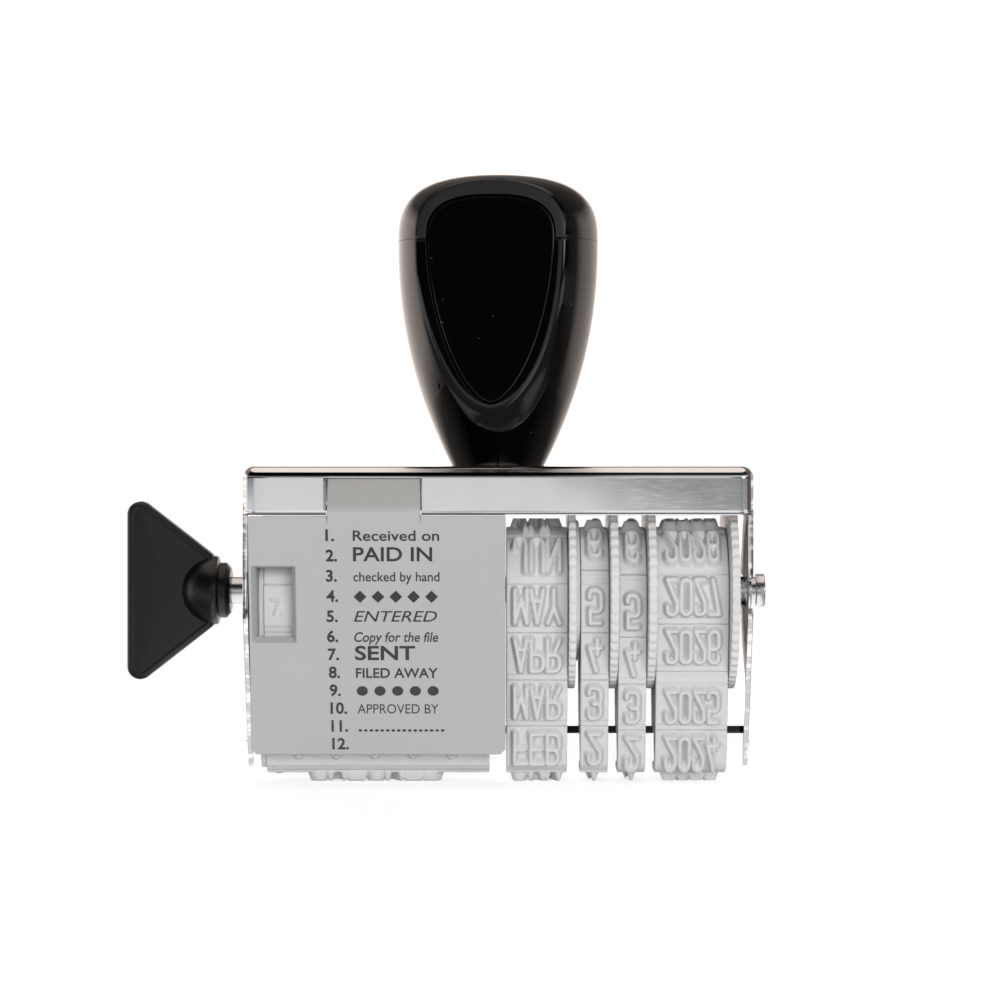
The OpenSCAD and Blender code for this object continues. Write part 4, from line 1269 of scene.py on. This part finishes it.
# %% Floor
FLOOR = 0.8
FLOOR_WHITE = (0.92, 0.92, 0.92, 1)
SEEN_LIFT, MIRROR_LIFT = 0.5, 0.75
FADE = (0.045, 0.11)
MIRROR_SIDE = (0.033, 0.036)
MIRROR_FADE = (0.032, 0.05)
FRONT_START = (0.036, 0.045)
FRONT_SIDE = (0.036, 0.050)
FRONT_FADE = (0.105, 0.125)
FRONT_SHARE = 0.5
floor_mesh = bpy.data.meshes.new("floor")
floor_mesh.from_pydata([(-FLOOR, -FLOOR, 0), (FLOOR, -FLOOR, 0), (FLOOR, FLOOR, 0), (-FLOOR, FLOOR, 0)], [],
                       [(0, 1, 2, 3)])
floor = bpy.data.objects.new("floor", floor_mesh)
bpy.context.scene.collection.objects.link(floor)
floor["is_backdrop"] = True


def floor_finish():
    """Matt white near the stamp, clear farther off. To the camera one passes into the other over the fade.
    Mirrored rays meet the white in the strip under the stamp, and a share of it in the zone in front."""
    material, place = begin("floor_white")
    seen = place.node("LightPath", out="Is Camera Ray")
    mirrored = place.node("LightPath", out="Is Glossy Ray")
    far = place.node("VectorMath", {"operation": "LENGTH"}, {0: place}, "Value")
    side, depth = abs(place.axis("X")), abs(place.axis("Y"))
    near = (1 - side.ramp(*MIRROR_SIDE)) * (1 - depth.ramp(*MIRROR_FADE))
    front = (0 - place.axis("Y")).ramp(*FRONT_START) * side.ramp(*FRONT_SIDE) * (1 - far.ramp(*FRONT_FADE))
    away = seen * far.ramp(*FADE) + mirrored * (1 - near) * (1 - front * FRONT_SHARE)
    matt = place.node("BsdfDiffuse", {}, {"Color": FLOOR_WHITE})
    lift = place.node("Emission", {}, {"Strength": seen * SEEN_LIFT + mirrored * MIRROR_LIFT})
    lit = place.node("AddShader", {}, {0: matt, 1: lift})
    clear = place.node("BsdfTransparent")
    connect_output(material, place.node("MixShader", {}, {0: away, 1: lit, 2: clear}))
    return material


floor_mesh.materials.append(floor_finish())
print("floor:", 2 * FLOOR, "m wide")

# %% [markdown]
# Chrome and gloss black show little but what they mirror, so the world is a set of cards round the stamp. A
# mirrored ray has a part to the right (across), a part to the rear (back) and a part upwards (height), each
# from -1 to 1, and a card is a zone of them with soft edges. The camera sees plain white, and matt surfaces
# get an even light.

# %% World
world = bpy.data.worlds.new("studio")
bpy.context.scene.world = world
world.use_nodes = True
tree = world.node_tree
tree.nodes.clear()
sky = Wire(tree, tree.nodes.new("ShaderNodeTexCoord").outputs["Generated"])
seen = sky.node("LightPath", out="Is Camera Ray")
glossy = sky.node("LightPath", out="Is Glossy Ray")
across, back, height = (sky.axis(name) for name in "XYZ")
wide = abs(across)
forward = (back * -1).ramp(-0.25, 0.3)
print("nodes for directions:", len(tree.nodes))

# %% Cards
# Black card at the level of the eye, for the insert and the flats.
wall = height.between(-0.010, -0.003, 0.10, 0.16) * wide.ramp(0.10, 0.14)
# Dark line along the tray's bend.
stripe = height.between(0.38, 0.46, 0.78, 0.86)
# Dark foreground, and the white beyond it for the bar's face.
table = 1 - height.ramp(-0.14, -0.125)
tabletop = 1 - height.ramp(-0.045, -0.030)
# Grey card behind a slanting edge, for the right third of the skirt.
right = (across + height * 1.73).ramp(-0.004, 0.014) * height.between(-0.030, -0.026, 0.0, 0.01)
# Dark spot at the skirt's left corner.
blot = (1 - across.ramp(-0.45, -0.30)) * height.between(-0.0175, -0.0160, 0.03, 0.06)
# Window for the glint at the right.
window = across.between(0.3, 0.45, 0.6, 0.75) * height.between(0.0, 0.05, 0.14, 0.22)
# Darker end of the room at the far right.
flank = across.ramp(0.86, 0.95) * (1 - back.ramp(0.2, 0.4))
# Pale ceiling, and the handle's dark foot in it.
above = height.ramp(0.80, 0.88)
handle = (1 - wide.ramp(0.014, 0.036)) * height.ramp(0.72, 0.80)
# Darker patches for the lower rim of the handle's flat.
facet = wide.between(0.10, 0.14, 0.5, 0.65) * height.between(-0.15, -0.13, -0.042, -0.032)
print("nodes with the cards:", len(tree.nodes))

# %% Surround
SOFT_LIGHT = 0.42
PEACH = (1, 0.88, 0.81, 1)
# In front the light fades upwards, and more so at the left.
rise = height.ramp(0.0, 0.42)
right_side = across.ramp(0.02, 0.05)
dusk = right_side * (1 - rise * 0.45) + (1 - right_side) * (1 - rise) * (1 - rise)
ahead = (0.75 + 0.5 * tabletop) * dusk
for card, share in ((wall, 0.98), (table, 0.84), (right, 0.58), (stripe, 0.96), (blot, 0.96), (facet, 0.8)):
    ahead = ahead * (1 - card * share)
ahead = ahead + window * 4
# Behind it is bright, less so at the right and far above and below.
behind = (1.9 - 0.75 * across.ramp(0.0, 0.4)) * (1 - abs(height).ramp(0.2, 0.4) * 0.85)
mirrored = (forward * ahead + (1 - forward) * behind) * (1 - flank * 0.8)
mirrored = mirrored * (1 - above) + above * 1.05
mirrored = mirrored * (1 - handle * 0.985)
strength = seen + (1 - seen) * (glossy * mirrored + (1 - glossy) * SOFT_LIGHT)
peach = (glossy * (1 - seen) * (1 - forward + above)).ramp(0, 1)
tint = peach.mix((1, 1, 1, 1), PEACH)
background = sky.node("Background", {}, {"Color": tint, "Strength": strength})
output = tree.nodes.new("ShaderNodeOutputWorld")
tree.links.new(background.socket, output.inputs["Surface"])
print("nodes of the world:", len(tree.nodes))

# %% [markdown]
# Two soft lamps shade the matt pieces. The key stands low in front, so the faces of the raised type are lit
# and the flanks are darker. The fill lights the rear. Gloss doesn't show either.

# %% Lamps
def soft_lamp(name, place, aim, size, power):
    """Square area lamp that looks at a point, in metres and watts. Gloss doesn't show it."""
    data = bpy.data.lights.new(name, "AREA")
    data.size, data.energy = size, power
    lamp = bpy.data.objects.new(name, data)
    lamp.location = place
    x, y, z = np.array(aim) - np.array(place)
    lamp.rotation_euler = (math.atan2(math.hypot(x, y), -z), 0, math.atan2(y, x) - math.pi / 2)
    lamp.visible_glossy = False
    bpy.context.scene.collection.objects.link(lamp)
    print("lamp:", name, power, "W")


MIDDLE = (0, 0, 0.03)
soft_lamp("key", (0.12, -0.7, 0.07), MIDDLE, 0.45, 5.2)
soft_lamp("fill", (-0.15, 0.7, 0.2), MIDDLE, 0.5, 3.0)

# %% Size of the visible pieces
low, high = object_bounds()
print("visual box:", [round(v, 4) for v in (*low, *high)])
